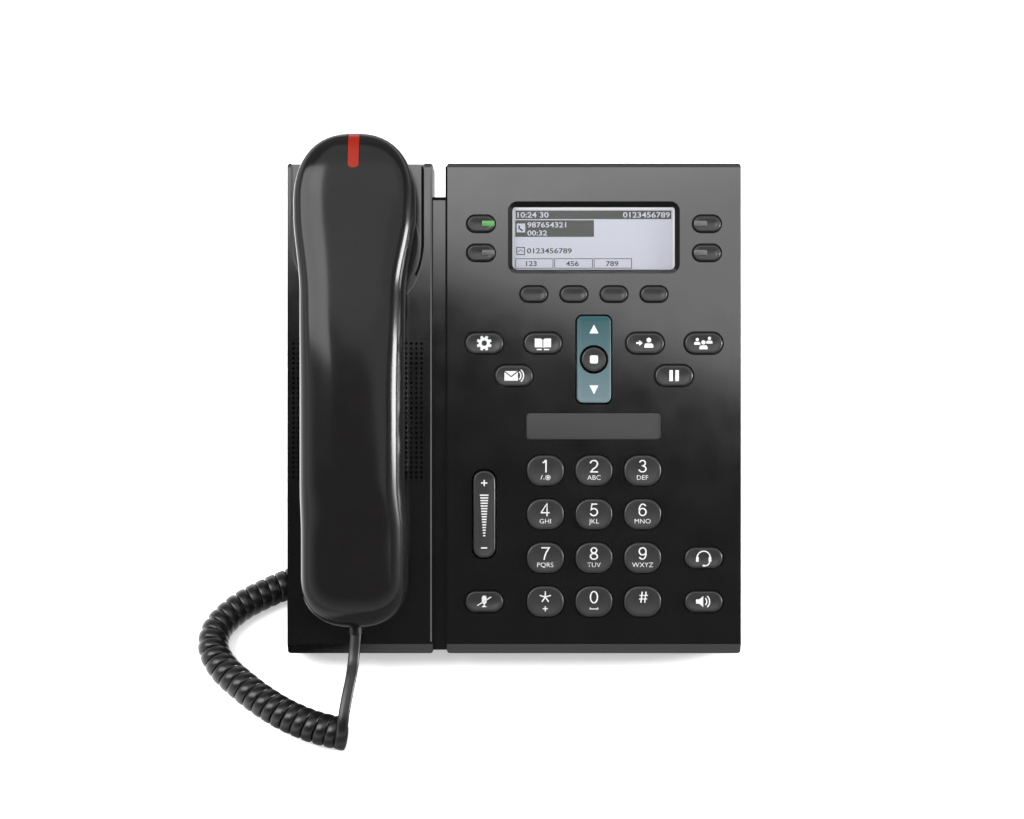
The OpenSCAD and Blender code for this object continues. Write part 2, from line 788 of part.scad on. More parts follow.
// One half of the handset as a hollow shell: up is 1 above the seam and -1 below it
module half_shell(up, power) {
    last = len(stations) - 1;
    row = ring_steps + 1;
    function ring_point(s, inset, k) =
        let (
            a = 180 * k / ring_steps,
            w = half_width(s) - inset,
            h = (up > 0 ? top_height(s) : under_depth(s)) - inset,
            y = s + inset * (1 - 2 * s / handset_len)
        )
        [
            middle_x(s) + w * sign(cos(a)) * pow(abs(cos(a)), 2 / power),
            handset_y + y,
            seam_rise_z + up * h * pow(abs(sin(a)), 2 / power)
        ];
    outer = [for (s = stations, k = [0 : ring_steps]) ring_point(s, 0, k)];
    inner = [for (s = stations, k = [0 : ring_steps]) ring_point(s, shell_wall, k)];
    first_inner = len(outer);
    function skin_faces(at, turn) = [
        for (i = [0 : last - 1], k = [0 : ring_steps - 1])
            let (a = at + i * row + k, b = a + 1, c = b + row, d = a + row)
                each (turn ? [[a, c, b], [a, d, c]] : [[a, b, c], [a, c, d]])
    ];
    function end_face(at, turn) =
        turn ? [for (k = [ring_steps : -1 : 0]) at + k] : [for (k = [0 : ring_steps]) at + k];
    rim = [
        for (i = [0 : last - 1])
            let (a = i * row, b = a + row, m = ring_steps, f = first_inner)
                each [[a, b, f + b, f + a], [a + m, f + a + m, f + b + m, b + m]]
    ];
    m = ring_steps;
    z = last * row;
    f = first_inner;
    rim_ends = [[0, f, f + m, m], [z, z + m, f + z + m, f + z]];
    faces = concat(
        skin_faces(0, false), skin_faces(f, true),
        [end_face(0, true), end_face(z, false), end_face(f, false), end_face(f + z, true)],
        rim, rim_ends
    );
    flipped = [for (face = faces) [for (i = [len(face) - 1 : -1 : 0]) face[i]]];
    polyhedron(concat(outer, inner), up > 0 ? faces : flipped);
}

module lamp_slot(w) {
    end = handset_y + handset_len;
    translate([handset_x, end - lamp_len + w / 2, seam_rise_z + over])
        cylinder(r = w / 2, h = handset_rise);
    translate([handset_x - w / 2, end - lamp_len + w / 2, seam_rise_z + over])
        cube([w, lamp_len, handset_rise]);
}

module handset_upper_shell() {
    color([0.1, 0.1, 0.11]) leaned() difference() {
        half_shell(1, 2.6);
        lamp_slot(lamp_w + 2 * tight);
    }
}

module message_lamp() {
    color([0.8, 0.2, 0.12]) leaned() intersection() {
        half_shell(1, 2.6);
        lamp_slot(lamp_w);
    }
}

module handset_lower_shell() {
    color([0.1, 0.1, 0.11]) leaned() difference() {
        half_shell(-1, 4.5);
        translate([handset_x, ear_y, 0]) {
            disc(ear_cap_r + tight, body_t - over, cap_top_z);
            disc(receiver_r + tight, body_t, seam_rise_z - 3);
        }
        translate([handset_x, mouth_y, 0]) {
            disc(mouth_cap_r + tight, body_t - over, cap_top_z);
            disc(microphone_r + tight, body_t, cap_top_z + shell_wall);
        }
        translate([handset_x - plug_w / 2 - tight, handset_y - over, plug_z - plug_h / 2 - tight])
            cube([plug_w + 2 * tight, plug_in + over, plug_h + 2 * tight]);
    }
}

module ear_cap() {
    color([0.12, 0.12, 0.13]) leaned()
        translate([handset_x, ear_y, 0])
            difference() {
                disc(ear_cap_r, pocket_z + slack, cap_top_z);
                disc(ear_cap_r - 8, pocket_z, pocket_z + slack + 2.5);
                for (a = [0 : 60 : 300])
                    rotate([0, 0, a])
                        translate([6, 0, 0])
                            disc(1, pocket_z, cap_top_z + over);
            }
}

module mouth_cap() {
    color([0.12, 0.12, 0.13]) leaned()
        translate([handset_x, mouth_y, 0])
            difference() {
                disc(mouth_cap_r, pocket_z + slack, cap_top_z);
                disc(mouth_cap_r - 8, pocket_z, pocket_z + slack + 2.5);
                disc(1, pocket_z, cap_top_z + over);
            }
}

// The receiver capsule on the ear cap and the microphone capsule on the mouth cap
module handset_capsules() {
    color([0.5, 0.5, 0.52]) leaned() {
        translate([handset_x, ear_y, 0])
            disc(receiver_r, cap_top_z, cap_top_z + 6);
        translate([handset_x, mouth_y, 0])
            disc(microphone_r, cap_top_z, cap_top_z + 4);
    }
}

// ---- Cord ----

// A small square plug that points along +y, with a round boot behind it
module plug() {
    translate([-plug_w / 2, 0, -plug_h / 2])
        cube([plug_w, plug_in, plug_h]);
    translate([0, -boot_len, 0])
        rotate([-90, 0, 0])
            cylinder(r = boot_r, h = boot_len + 0.5);
}

module handset_plug() {
    color([0.1, 0.1, 0.1]) leaned()
        translate([handset_x, handset_y + 0.5, plug_z])
            plug();
}

module base_plug() {
    color([0.1, 0.1, 0.1]) leaned()
        translate([audio_x + jack_step / 2, jack_y, -slack])
            rotate([90, 0, 0])
                plug();
}

module cord_coil() {
    route = [for (p = coil_route) [p[0], p[1], coil_z]];
    color([0.1, 0.1, 0.1])
        tube(route, coil_d, coil_sides, [0, 0, 1]);
}

function leaned_point(p) = [
    p[0], lean_y + p[1] * cos(tilt) - p[2] * sin(tilt), lean_z + p[1] * sin(tilt) + p[2] * cos(tilt)
];
handset_exit = leaned_point([handset_x, handset_y + 0.5 - boot_len, plug_z]);
handset_ahead = leaned_point([handset_x, handset_y - 3 - boot_len, plug_z]);
base_exit = leaned_point([audio_x + jack_step / 2, jack_y, -slack - boot_len]);
base_ahead = leaned_point([audio_x + jack_step / 2, jack_y, -slack - boot_len - 4]);

module cord_handset_lead() {
    color([0.1, 0.1, 0.1])
        tube(concat([handset_exit, handset_ahead], handset_lead), cord_w, cord_sides, [1, 0, 0]);
}

module cord_base_lead() {
    color([0.1, 0.1, 0.1])
        tube(concat([base_exit, base_ahead], base_lead), cord_w, cord_sides, [1, 0, 0]);
}

// ---- The parts, one node each ----

front_housing();
cradle_cover();
rear_housing();
front_foot();
fold_stand();
stand_hinge_pin();
stand_pads();
display_window();
display_module();
label_window();
key_mat();
main_board();
speaker_grille();
loudspeaker();
hook_switch();
rear_jacks();
case_screws();
nav_rocker();
select_button();
volume_rocker();
handset_upper_shell();
handset_lower_shell();
ear_cap();
mouth_cap();
handset_capsules();
message_lamp();
handset_plug();
base_plug();
cord_coil();
cord_handset_lead();
cord_base_lead();
for (key = KEYS)
    color([0.17, 0.17, 0.18]) leaned()
            translate([panel_x + key[1], key[2], 0])
                key_cap(key[3]);
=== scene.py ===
"""Desk IP phone: a key panel, a handset on its cradle and a coiled cord, leaning on a fold-out stand."""

import math

import bmesh
import bpy
from bpy.props import FloatProperty, FloatVectorProperty, IntProperty, PointerProperty
from mathutils import Matrix, Vector


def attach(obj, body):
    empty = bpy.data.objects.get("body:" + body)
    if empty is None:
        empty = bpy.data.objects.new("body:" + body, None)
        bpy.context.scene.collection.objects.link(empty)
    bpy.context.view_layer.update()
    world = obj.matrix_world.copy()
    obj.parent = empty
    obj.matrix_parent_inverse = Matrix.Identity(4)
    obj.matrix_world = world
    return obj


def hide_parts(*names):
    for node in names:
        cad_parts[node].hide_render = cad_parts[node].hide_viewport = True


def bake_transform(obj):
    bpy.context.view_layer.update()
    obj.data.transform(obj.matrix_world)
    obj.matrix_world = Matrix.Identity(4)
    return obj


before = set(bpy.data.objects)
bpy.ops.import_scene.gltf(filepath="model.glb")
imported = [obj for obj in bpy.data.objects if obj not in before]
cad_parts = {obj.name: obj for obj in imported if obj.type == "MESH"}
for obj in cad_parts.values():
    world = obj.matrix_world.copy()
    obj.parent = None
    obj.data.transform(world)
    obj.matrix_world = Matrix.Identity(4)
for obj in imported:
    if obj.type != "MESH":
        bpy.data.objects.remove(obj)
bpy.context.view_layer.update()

bl_info = {
    "name": "Desk IP Phone",
    "version": (1, 0, 0),
    "blender": (4, 5, 0),
    "location": "3D View > Sidebar > Desk Phone",
    "description": "Dresses the desk phone's frame with its keys, handset, display, cord and finishes",
    "category": "Object",
}

MM = 0.001

# The face leans back, and its own x, y and z run along it, up it and out of it.
LEAN = math.radians(40)
FACE = Matrix.Translation((0, -0.776 * MM, -2.6 * MM)) @ Matrix.Rotation(LEAN, 4, "X")
FACE_LEVEL = 28

# Columns and rows of the key panel: columns are counted from its middle, rows up the face
PANEL_X = 33.45
LINE_COLUMN = 47.4
OUTER_COLUMN = 46
MIDDLE_COLUMN = 33.6
INNER_COLUMN = 21.4
DIAL_PITCH = 20.4
SOFT_PITCH = 16.8
SOFT_ROW = 151
LINE_ROWS = (180.5, 168.3)
FEATURE_ROW = 130.4
SECOND_ROW = 116.8
NAV_ROW = 123.6
DISPLAY_ROW = 174.8
LABEL_ROW = 95.6
DIAL_ROWS = (77, 58.7, 40.4, 22.1)

# Levels over the body's back: the display's panel and the two layers of print on its screen,
# and the level that a key's print is laid down from
DISPLAY_TOP = 24.0
DARK_PRINT = 24.17
LIGHT_PRINT = 24.21
PRINT_FROM = 32

# Key sizes: width, height, corner radius and the gap round the key
DIAL_SIZE = (15.5, 12.8, 6.1, 0.4)
SOFT_SIZE = (11, 6.2, 3.05, 0.7)
LINE_SIZE = (11.4, 6.6, 3.25, 0.7)
FEATURE_SIZE = (15.7, 8.6, 4.25, 0.7)
FLANGE = 1.2
FLANGE_LOW = 24.1

DIAL_MARKS = ("1", "2", "3", "4", "5", "6", "7", "8", "9", "star", "0", "hash")
DIAL_LETTERS = ("/.@", "ABC", "DEF", "GHI", "JKL", "MNO", "PQRS", "TUV", "WXYZ", "+", "_", "")

# Height of a capital letter, as a share of the font's size
CAPITAL_SHARE = 0.69

# Handset: where it lies, and its stations along its length
HANDSET_X = -65.75
HANDSET_START = 12.8
HANDSET_LENGTH = 203.5
HANDSET_SEAM = 45
SHELL_STEPS = 28
MOUTH_ROUND = 20
EAR_ROUND = 30

# Cord: the coil's axis on the desk, and the leads at its two ends
COIL_AXIS_HEIGHT = 7
COIL_AXIS = (
    (-73, -50), (-82, -47.5), (-90, -44), (-98, -39.5), (-107, -33), (-115, -26), (-122, -19),
    (-127, -11), (-128.5, -4), (-127, 3), (-123, 9), (-117, 15), (-108, 21), (-99, 26),
    (-90, 31), (-82, 38), (-76, 47), (-73, 57), (-71, 68), (-70, 80), (-70, 92), (-70, 104),
    (-70, 116), (-70, 128),
)
HANDSET_LEAD = (
    (-66.6, -27, 27), (-67.4, -34.5, 25.2), (-68.9, -43, 22.6), (-70.2, -51, 19), (-70.8, -56, 14),
)
BASE_LEAD = (
    (-70, 133, 8.2), (-70, 136.8, 11.3), (-70, 138.5, 16), (-70, 136, 22.5),
    (-69.5, 128.5, 30), (-69, 119, 39), (-68.5, 110, 49.5), (-68, 101, 61.5),
)
HANDSET_PLUG_END = (-65.75, 9.3, 38)
BASE_PLUG_END = (-67.65, 120, -4.2)
COIL_RUN_IN = 2.3
COIL_RUN_OUT = 2.2
COIL_STEPS = 20
AXIS_STEP = 0.25
# The coil's last turn: how much of a turn it takes, and how far along the axis it runs
LAST_TURN = 0.8
LAST_TURN_RUN = 8
CORD_WIDTH = 4.7
CORD_THICKNESS = 2.3

# Camera: how far it stands off the face, over which place, and the focal length of its lens
CAMERA_OVER = (-0.9, 102.6)
CAMERA_DISTANCE = 1.0
CAMERA_LENS = 83.8

# Lamps: name, place and aim over the face in millimetres, the way their height runs, size in metres, watts
LAMPS = (
    ("top_softbox", (243, 850, 1028), (243, 850, 28), (0.347, 0.938, 0), (2.0, 1.4), 16.7),
    ("top_boost", (-49, 508, 1000), (-49, 508, 28), (-0.196, 0.98, 0), (1.4, 0.5), 1.8),
    ("left_panel", (-670, 441, 676), (-48, 441, 67), (0, 1, 0), (0.863, 0.53), 16.0),
    ("right_strip", (673, 114, 190), (-50, 114, 55), (0, 0.1, 1), (0.128, 0.25), 7.1),
)
WORLD_LIGHT = 0.2

# The left panel is for the handset: the flat glossy parts would mirror it whole from the side.
SPARED_BY_LEFT_PANEL = ("front_housing", "cradle_cover", "speaker_grille", "hook_switch")


def length_property(name, about, value, low, high):
    """A length setting, given in millimetres."""
    return FloatProperty(
        name=name, description=about, default=value * MM, min=low * MM, max=high * MM,
        unit="LENGTH", precision=5,
    )


class PhoneSizes(bpy.types.PropertyGroup):
    """Sizes of the pieces, over the frame's own."""

    key_edge: length_property("Key edge", "Radius of the rounded edge round a key's top", 0.7, 0.2, 1.2)
    key_dish: length_property("Key dish", "How deep the middle of a key is dished", 0.45, 0, 1)
    key_top: length_property("Key top", "Height of the key tops above the body's back", 29.2, 28.4, 29.2)
    numeral_height: length_property("Numerals", "Height of the numerals on the dial keys", 5.3, 3, 7)
    letter_height: length_property("Letters", "Height of the letters under the numerals", 1.9, 1, 3)
    coil_near: length_property("Coil, handset end", "Outer diameter at the handset's end", 13.9, 10, 14)
    coil_far: length_property("Coil, far end", "Outer diameter at the far end", 12, 10, 14)
    coil_turns: IntProperty(
        name="Coil turns", description="Number of turns in the whole coil", default=50, min=20, max=50
    )


def colour_property(name, about, value):
    """A colour setting, written as linear red, green and blue."""
    return FloatVectorProperty(
        name=name, description=about, default=value, size=3, subtype="COLOR", min=0, max=1
    )


class PhoneColours(bpy.types.PropertyGroup):
    """Colours of the finishes."""

    housing: colour_property("Housing", "Satin plastic of the body", (0.006, 0.0055, 0.0057))
    handset: colour_property("Handset", "Gloss plastic of the handset", (0.0075, 0.007, 0.0072))
    key: colour_property("Keys", "Satin plastic of the keys", (0.0105, 0.0102, 0.0102))
    rocker: colour_property("Rocker", "Navigation rocker at its upper end", (0.019, 0.056, 0.062))
    # The rocker's paler lower end is a painted sheen.
    rocker_painted_sheen: colour_property("Rocker, low end", "The same at its lower end", (0.087, 0.127, 0.143))
    legend: colour_property("Legends", "Print on the keys", (0.5, 0.505, 0.51))
    screen: colour_property("Screen", "Display where nothing is shown", (0.21, 0.215, 0.245))
    screen_mark: colour_property("Screen marks", "Display where it is dark", (0.033, 0.036, 0.031))
    lamp: colour_property("Message lamp", "Lens of the lamp on the handset", (0.175, 0.0085, 0.0025))
    lit: colour_property("Lit key", "Lamp of the line key in use", (0.045, 0.175, 0.04))
    cord: colour_property("Cord", "Sheath of the coiled cord", (0.0042, 0.0042, 0.0046))


# ---- Modelling ----


def deselect():
    """Leaves nothing selected, so that an operator acts on the new piece alone."""
    if bpy.context.mode != "OBJECT":
        bpy.ops.object.mode_set(mode="OBJECT")
    bpy.ops.object.select_all(action="DESELECT")


def only(piece):
    """Selects one piece alone, and makes it the active one."""
    deselect()
    piece.select_set(True)
    bpy.context.view_layer.objects.active = piece


def named(name):
    """Names the piece that was just added, and returns it."""
    piece = bpy.context.object
    piece.name = piece.data.name = name
    return piece


def edit(piece):
    """Goes into edit mode on one piece."""
    only(piece)
    bpy.ops.object.mode_set(mode="EDIT")


def pick(piece, kind, test):
    """In edit mode, selects the vertices, edges or faces that pass the test."""
    bpy.ops.mesh.select_mode(type=kind)
    bpy.ops.mesh.select_all(action="DESELECT")
    mesh = bmesh.from_edit_mesh(piece.data)
    parts = {"VERT": mesh.verts, "EDGE": mesh.edges, "FACE": mesh.faces}[kind]
    for part in parts:
        if test(part):
            part.select_set(True)
    mesh.select_flush_mode()
    bmesh.update_edit_mesh(piece.data)


def pick_top(piece):
    """In edit mode, selects the one face that lies highest and looks up."""
    mesh = bmesh.from_edit_mesh(piece.data)
    top = max(
        (face for face in mesh.faces if face.normal.z > 0.99),
        key=lambda face: (round(face.calc_center_median().z, 7), face.calc_area()),
    ).index
    pick(piece, "FACE", lambda face: face.index == top)


def lift(height):
    """In edit mode, pulls the selected faces straight up."""
    bpy.ops.mesh.extrude_region_move(TRANSFORM_OT_translate={"value": (0, 0, height * MM)})


def outline(name, middle, size, radius, level, steps=8):
    """A flat rounded rectangle in the face's own axes, left in edit mode with its face selected."""
    deselect()
    half_step = math.pi / (4 * steps)
    bpy.ops.mesh.primitive_circle_add(
        vertices=4 * steps, radius=radius * MM / math.cos(half_step), fill_type="NGON"
    )
    piece = named(name)
    edit(piece)
    bpy.ops.transform.rotate(value=half_step, orient_axis="Z", center_override=(0, 0, 0))
    for axis in (0, 1):
        for way in (-1, 1):
            pick(piece, "VERT", lambda vertex: vertex.co[axis] * way > 0)
            shift = [0, 0, 0]
            shift[axis] = way * (size[axis] / 2 - radius) * MM
            bpy.ops.transform.translate(value=shift)
    bpy.ops.mesh.select_mode(type="FACE")
    bpy.ops.mesh.select_all(action="SELECT")
    bpy.ops.transform.translate(value=(middle[0] * MM, middle[1] * MM, level * MM))
    return piece


def slab(name, middle, size, radius, low, high, edge=0.2):
    """A rounded plate in the face's own axes with a rounded top edge."""
    piece = outline(name, middle, size, radius, low)
    lift(high - low)
    bpy.ops.mesh.bevel(offset=edge * MM, segments=3, affect="EDGES")
    return done(piece)


def apply_modifier(piece, kind, **values):
    """Adds a modifier to a piece and applies it."""
    only(piece)
    modifier = piece.modifiers.new(kind.title(), kind)
    for setting, value in values.items():
        setattr(modifier, setting, value)
    bpy.ops.object.modifier_apply(modifier=modifier.name)


def done(piece, angle=35):
    """Turns a piece's faces outwards, leaves edit mode and smooths all but the sharp edges."""
    edit(piece)
    bpy.ops.mesh.select_all(action="SELECT")
    bpy.ops.mesh.normals_make_consistent(inside=False)
    only(piece)
    bpy.ops.object.shade_smooth_by_angle(angle=math.radians(angle))
    return piece


def joined(name, pieces):
    """Several pieces as one."""
    deselect()
    for piece in pieces:
        piece.select_set(True)
    bpy.context.view_layer.objects.active = pieces[0]
    if len(pieces) > 1:
        bpy.ops.object.join()
    return named(name)


def dress(piece, finish):
    """Gives a piece one finish in place of all it had."""
    piece.data.materials.clear()
    piece.data.materials.append(bpy.data.materials[finish])


def settle(piece, body, finish, replaces=(), leaned=True):
    """Applies a piece's place, leans it with the face, and gives it its body and its finish."""
    piece.data.transform((FACE if leaned else Matrix()) @ piece.matrix_world)
    piece.matrix_world = Matrix()
    dress(piece, finish)
    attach(piece, body)
    if replaces:
        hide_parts(*replaces)
    return piece


def on_face(x, y, z):
    """A place on the leaning face, in millimetres, as a point in the frame."""
    return FACE @ Vector((x * MM, y * MM, z * MM))


# ---- Print ----


def flat_shape(name, outlines, level):
    """A flat mesh from closed outlines in millimetres; an outline within another is a hole."""
    curve = bpy.data.curves.new(name, "CURVE")
    curve.dimensions = "2D"
    curve.fill_mode = "FRONT"
    for points in outlines:
        spline = curve.splines.new("POLY")
        spline.points.add(len(points) - 1)
        for at, (x, y) in zip(spline.points, points):
            at.co = (x * MM, y * MM, 0, 1)
        spline.use_cyclic_u = True
    piece = bpy.data.objects.new(name, curve)
    bpy.context.scene.collection.objects.link(piece)
    only(piece)
    bpy.ops.object.convert(target="MESH")
    piece = named(name)
    piece.data.transform(Matrix.Translation((0, 0, level * MM)))
    return piece


def flat_shapes(name, shapes, level):
    """One flat mesh for each set of outlines, so that they may overlap."""
    return [flat_shape(f"{name}_{i}", outlines, level) for i, outlines in enumerate(shapes)]


def breadth(piece):
    """The least and greatest x of a piece's vertices."""
    across = [vertex.co.x for vertex in piece.data.vertices]
    return min(across), max(across)


def words(name, text, height, middle, level, wide, thin):
    """Flat characters with capitals of a given height, centred on a place."""
    deselect()
    bpy.ops.object.text_add()
    piece = bpy.context.object
    piece.data.body = text
    piece.data.size = height * MM / CAPITAL_SHARE
    piece.data.offset = -thin * MM
    piece.data.resolution_u = 3
    bpy.ops.object.convert(target="MESH")
    piece = named(name)
    left, right = breadth(piece)
    centre = Vector(((left + right) / 2, height * MM / 2, 0))
    place = Matrix.Translation((middle[0] * MM, middle[1] * MM, level * MM))
    piece.data.transform(place @ Matrix.Diagonal((wide, 1, 1, 1)) @ Matrix.Translation(-centre))
    return piece


def moved(points, x=0.0, y=0.0, scale=1.0, mirror=False):
    """Outline points, scaled, mirrored left to right if asked, and shifted."""
    side = -scale if mirror else scale
    return [(x + side * px, y + scale * py) for px, py in points]


def disc_outline(x, y, radius, steps=20):
    return [
        (x + radius * math.cos(math.tau * i / steps), y + radius * math.sin(math.tau * i / steps))
        for i in range(steps)
    ]


def box_outline(x0, y0, x1, y1):
    return [(x0, y0), (x1, y0), (x1, y1), (x0, y1)]


def arc_points(x, y, rx, ry, start, end, steps=14):
    """Points along part of an ellipse, from one angle to another in degrees."""
    angles = [math.radians(start + (end - start) * i / steps) for i in range(steps + 1)]
    return [(x + rx * math.cos(a), y + ry * math.sin(a)) for a in angles]


def arc_outline(x, y, radius, width, start, end):
    """A stroke along an arc, from one angle to another in degrees."""
    radii = (radius + width / 2, radius - width / 2)
    outer, inner = (arc_points(x, y, r, r, start, end, 12) for r in radii)
    return outer + inner[::-1]


def stroke_outline(x0, y0, x1, y1, width):
    """A straight stroke between two points."""
    along = Vector((x1 - x0, y1 - y0)).normalized() * width / 2
    ax, ay = -along.y, along.x
    return [(x0 + ax, y0 + ay), (x0 - ax, y0 - ay), (x1 - ax, y1 - ay), (x1 + ax, y1 + ay)]


def drawn_line(points, width):
    """The outline of a stroke of even width along a line of points."""
    sides = ([], [])
    points = [Vector(p) for p in points]
    for i, point in enumerate(points):
        before = (point - points[i - 1]).normalized() if i else None
        after = (points[i + 1] - point).normalized() if i + 1 < len(points) else None
        along = ((before or after) + (after or before)).normalized()
        reach = width / 2 / max(0.5, along.dot(after or before))
        off = Vector((-along.y, along.x)) * reach
        sides[0].append(tuple(point + off))
        sides[1].append(tuple(point - off))
    return sides[0] + sides[1][::-1]


def numeral_outlines(sign, height, x, y, stroke):
    """A numeral in even strokes, centred on a place: its outlines, in millimetres."""
    wide = {"*": 1.0, "#": 1.25}.get(sign, 1.15)
    w = stroke / height / 2
    top, low, half = 1 - w, w, 0.5
    rings = {
        "0": [(0.29, 0.5, 0.29 - w, half - w)],
        "6": [(0.29, 0.33, 0.28 - w, 0.33 - w)],
        "8": [(0.29, 0.75, 0.24 - w, 0.25 - w), (0.29, 0.27, 0.285 - w, 0.27 - w)],
        "9": [(0.29, 0.67, 0.28 - w, 0.33 - w)],
    }.get(sign, [])
    lines = {
        "1": [[(0.34, 0), (0.34, 1)], [(0.1, 0.78), (0.22, 0.82), (0.32, 1)]],
        "2": [arc_points(0.29, 0.7, 0.29 - w, 0.3 - w, 175, -25)
              + [(0.44, 0.44), (0.2, 0.24), (0.1, low)], [(0.02, low), (0.57, low)]],
        "3": [arc_points(0.28, 0.74, 0.24 - w, 0.26 - w, 165, -90) + [(0.22, 0.52)],
              [(0.22, 0.52)] + arc_points(0.28, 0.28, 0.29 - w, 0.28 - w, 80, -168)],
        "4": [[(0.41, 0), (0.41, 0.99), (0.03, 0.32), (0.03, 0.27), (0.58, 0.27)]],
        "5": [[(0.52, top), (0.15, top), (0.09, 0.5)]
              + arc_points(0.28, 0.32, 0.3 - w, 0.33 - w, 130, -160)],
        "6": [arc_points(0.31, 0.5, 0.3 - w, half - w, 40, 190)],
        "7": [[(0.02, top), (0.56, top), (0.36, 0.6), (0.26, 0.3), (0.2, 0)]],
        "9": [arc_points(0.27, 0.5, 0.3 - w, half - w, 10, -140)],
        "*": [[(0.29, 0.5), end] for end in arc_points(0.29, 0.5, 0.36, 0.36, 90, 378, 4)],
        "#": [[(0.16, 0), (0.26, 1)], [(0.44, 0), (0.54, 1)],
              [(0.02, 0.33), (0.62, 0.33)], [(0.06, 0.66), (0.68, 0.66)]],
    }.get(sign, [])
    shapes = [[drawn_line(line, stroke / height)] for line in lines]
    for cx, cy, rx, ry in rings:
        shapes.append([arc_points(cx, cy, rx + off, ry + off, 0, 345, 23) for off in (w, -w)])
    return [
        [moved([((px - 0.29) * wide, py - 0.5) for px, py in points], x, y, height) for points in shape]
        for shape in shapes
    ]


def plus_outlines(x, y, size, width):
    """A plus sign as two bars."""
    return [
        [stroke_outline(x - size / 2, y, x + size / 2, y, width)],
        [stroke_outline(x, y - size / 2, x, y + size / 2, width)],
    ]


def at_outlines(x, y):
    """The signs on the first key: a slash, a dot and an at sign."""
    return [
        [stroke_outline(x - 1.9, y - 0.85, x - 1.2, y + 0.95, 0.26)],
        [box_outline(x - 0.75, y - 0.8, x - 0.4, y - 0.45)],
        [disc_outline(x + 1.1, y, 1.05), disc_outline(x + 1.1, y, 0.82)],
        [disc_outline(x + 1.1, y, 0.46, 12)],
    ]


def person_outlines(x, y, scale=1.0):
    """A head over a pair of shoulders."""
    shoulders = [(-1.8, -1.9), (1.8, -1.9), (1.8, -0.9), (1.3, -0.2), (-1.3, -0.2), (-1.8, -0.9)]
    return [
        disc_outline(x, y + 1.15 * scale, 0.95 * scale),
        moved(shoulders, x, y, scale),
    ]


def gear_icon():
    points = []
    for tooth in range(8):
        middle = math.tau * (tooth + 0.5) / 8
        for turn, radius in ((-0.26, 2.35), (-0.17, 3.2), (0.17, 3.2), (0.26, 2.35)):
            points.append((radius * math.cos(middle + turn), radius * math.sin(middle + turn)))
    return [points, disc_outline(0, 0, 1.15)]


def book_icon():
    page = [(0.2, -1.9), (0.2, 1.5), (0.9, 1.95), (3.4, 1.95), (3.4, -1.7), (0.9, -1.7)]
    return [
        page, moved(page, mirror=True),
        box_outline(-2.6, -2.9, -0.5, -2.4), box_outline(0.5, -2.9, 2.6, -2.4),
    ]


def transfer_icon():
    arrow = [(-3.7, -0.3), (-2.4, -0.3), (-2.4, -1.1), (-1, 0.1), (-2.4, 1.3), (-2.4, 0.5), (-3.7, 0.5)]
    return [arrow] + person_outlines(1.6, 0.1, 1.05)


def conference_icon():
    return (
        person_outlines(-0.1, -0.75, 0.95) + person_outlines(-2.7, 0.7, 0.72)
        + person_outlines(2.4, 1.2, 0.72)
    )


def envelope_icon():
    flap = [(-3.7, 1.9), (1.5, 1.9), (-1.1, -0.15)]
    body = [(-3.9, -2.1), (1.7, -2.1), (1.7, 1.5), (-1.1, -0.75), (-3.9, 1.5)]
    return [
        flap, body,
        arc_outline(0.9, 0, 2.1, 0.5, -50, 50), arc_outline(0.9, 0, 3.2, 0.5, -50, 50),
    ]


def pause_icon():
    return [box_outline(-2, -2.3, -0.5, 2.3), box_outline(0.5, -2.3, 2, 2.3)]


def mute_icon():
    return [
        rounded_outline(0, 0.75, 2.0, 3.5, 0.95, 4), box_outline(-0.22, -1.75, 0.22, -1.0),
        [(-1.1, -2.3), (1.1, -2.3), (0.5, -1.75), (-0.5, -1.75)],
        stroke_outline(-2.9, -1.7, 2.9, 1.9, 0.42),
    ]


def headset_icon():
    return [
        arc_outline(0, 0.1, 2.75, 0.5, 0, 180),
        box_outline(-3.2, -1.6, -2.1, 0.3), box_outline(2.1, -1.6, 3.2, 0.3),
        arc_outline(0.6, -1.4, 1.9, 0.45, 270, 350), box_outline(-0.4, -3.6, 0.9, -2.9),
    ]


def speaker_icon():
    cone = [(-3.2, -0.9), (-1.9, -0.9), (-0.2, -2.3), (-0.2, 2.3), (-1.9, 0.9), (-3.2, 0.9)]
    return [
        cone, arc_outline(-0.6, 0, 1.9, 0.5, -48, 48), arc_outline(-0.6, 0, 3.1, 0.5, -48, 48),
    ]


# Feature keys: icon, column and row
FEATURE_KEYS = {
    "settings_key": (gear_icon, -OUTER_COLUMN, FEATURE_ROW),
    "contacts_key": (book_icon, -INNER_COLUMN, FEATURE_ROW),
    "transfer_key": (transfer_icon, INNER_COLUMN, FEATURE_ROW),
    "conference_key": (conference_icon, OUTER_COLUMN, FEATURE_ROW),
    "messages_key": (envelope_icon, -MIDDLE_COLUMN, SECOND_ROW),
    "hold_key": (pause_icon, MIDDLE_COLUMN, SECOND_ROW),
    "mute_key": (mute_icon, -OUTER_COLUMN, DIAL_ROWS[3]),
    "headset_key": (headset_icon, OUTER_COLUMN, DIAL_ROWS[2]),
    "speaker_key": (speaker_icon, OUTER_COLUMN, DIAL_ROWS[3]),
}


def key_cap(name, middle, size, top, edge, dish):
    """A key: its rim under the face, its cap with a rounded edge, and a dished top."""
    width, height, radius, gap = size
    rim = gap + FLANGE / 2
    piece = outline(
        name, middle, (width + 2 * rim, height + 2 * rim), radius + rim, FLANGE_LOW, steps=10
    )
    lift(FLANGE)
    bpy.ops.mesh.inset(thickness=rim * MM, depth=0)
    lift(top - FLANGE_LOW - FLANGE)
    bpy.ops.mesh.bevel(offset=edge * MM, segments=4, affect="EDGES")
    pick_top(piece)
    reach = height / 2 - edge
    for share, part in ((0.12, 0.10), (0.2, 0.32), (0.24, 0.34), (0.24, 0.24)):
        bpy.ops.mesh.inset(thickness=reach * share * MM, depth=-dish * part * MM)
    return done(piece, 40)


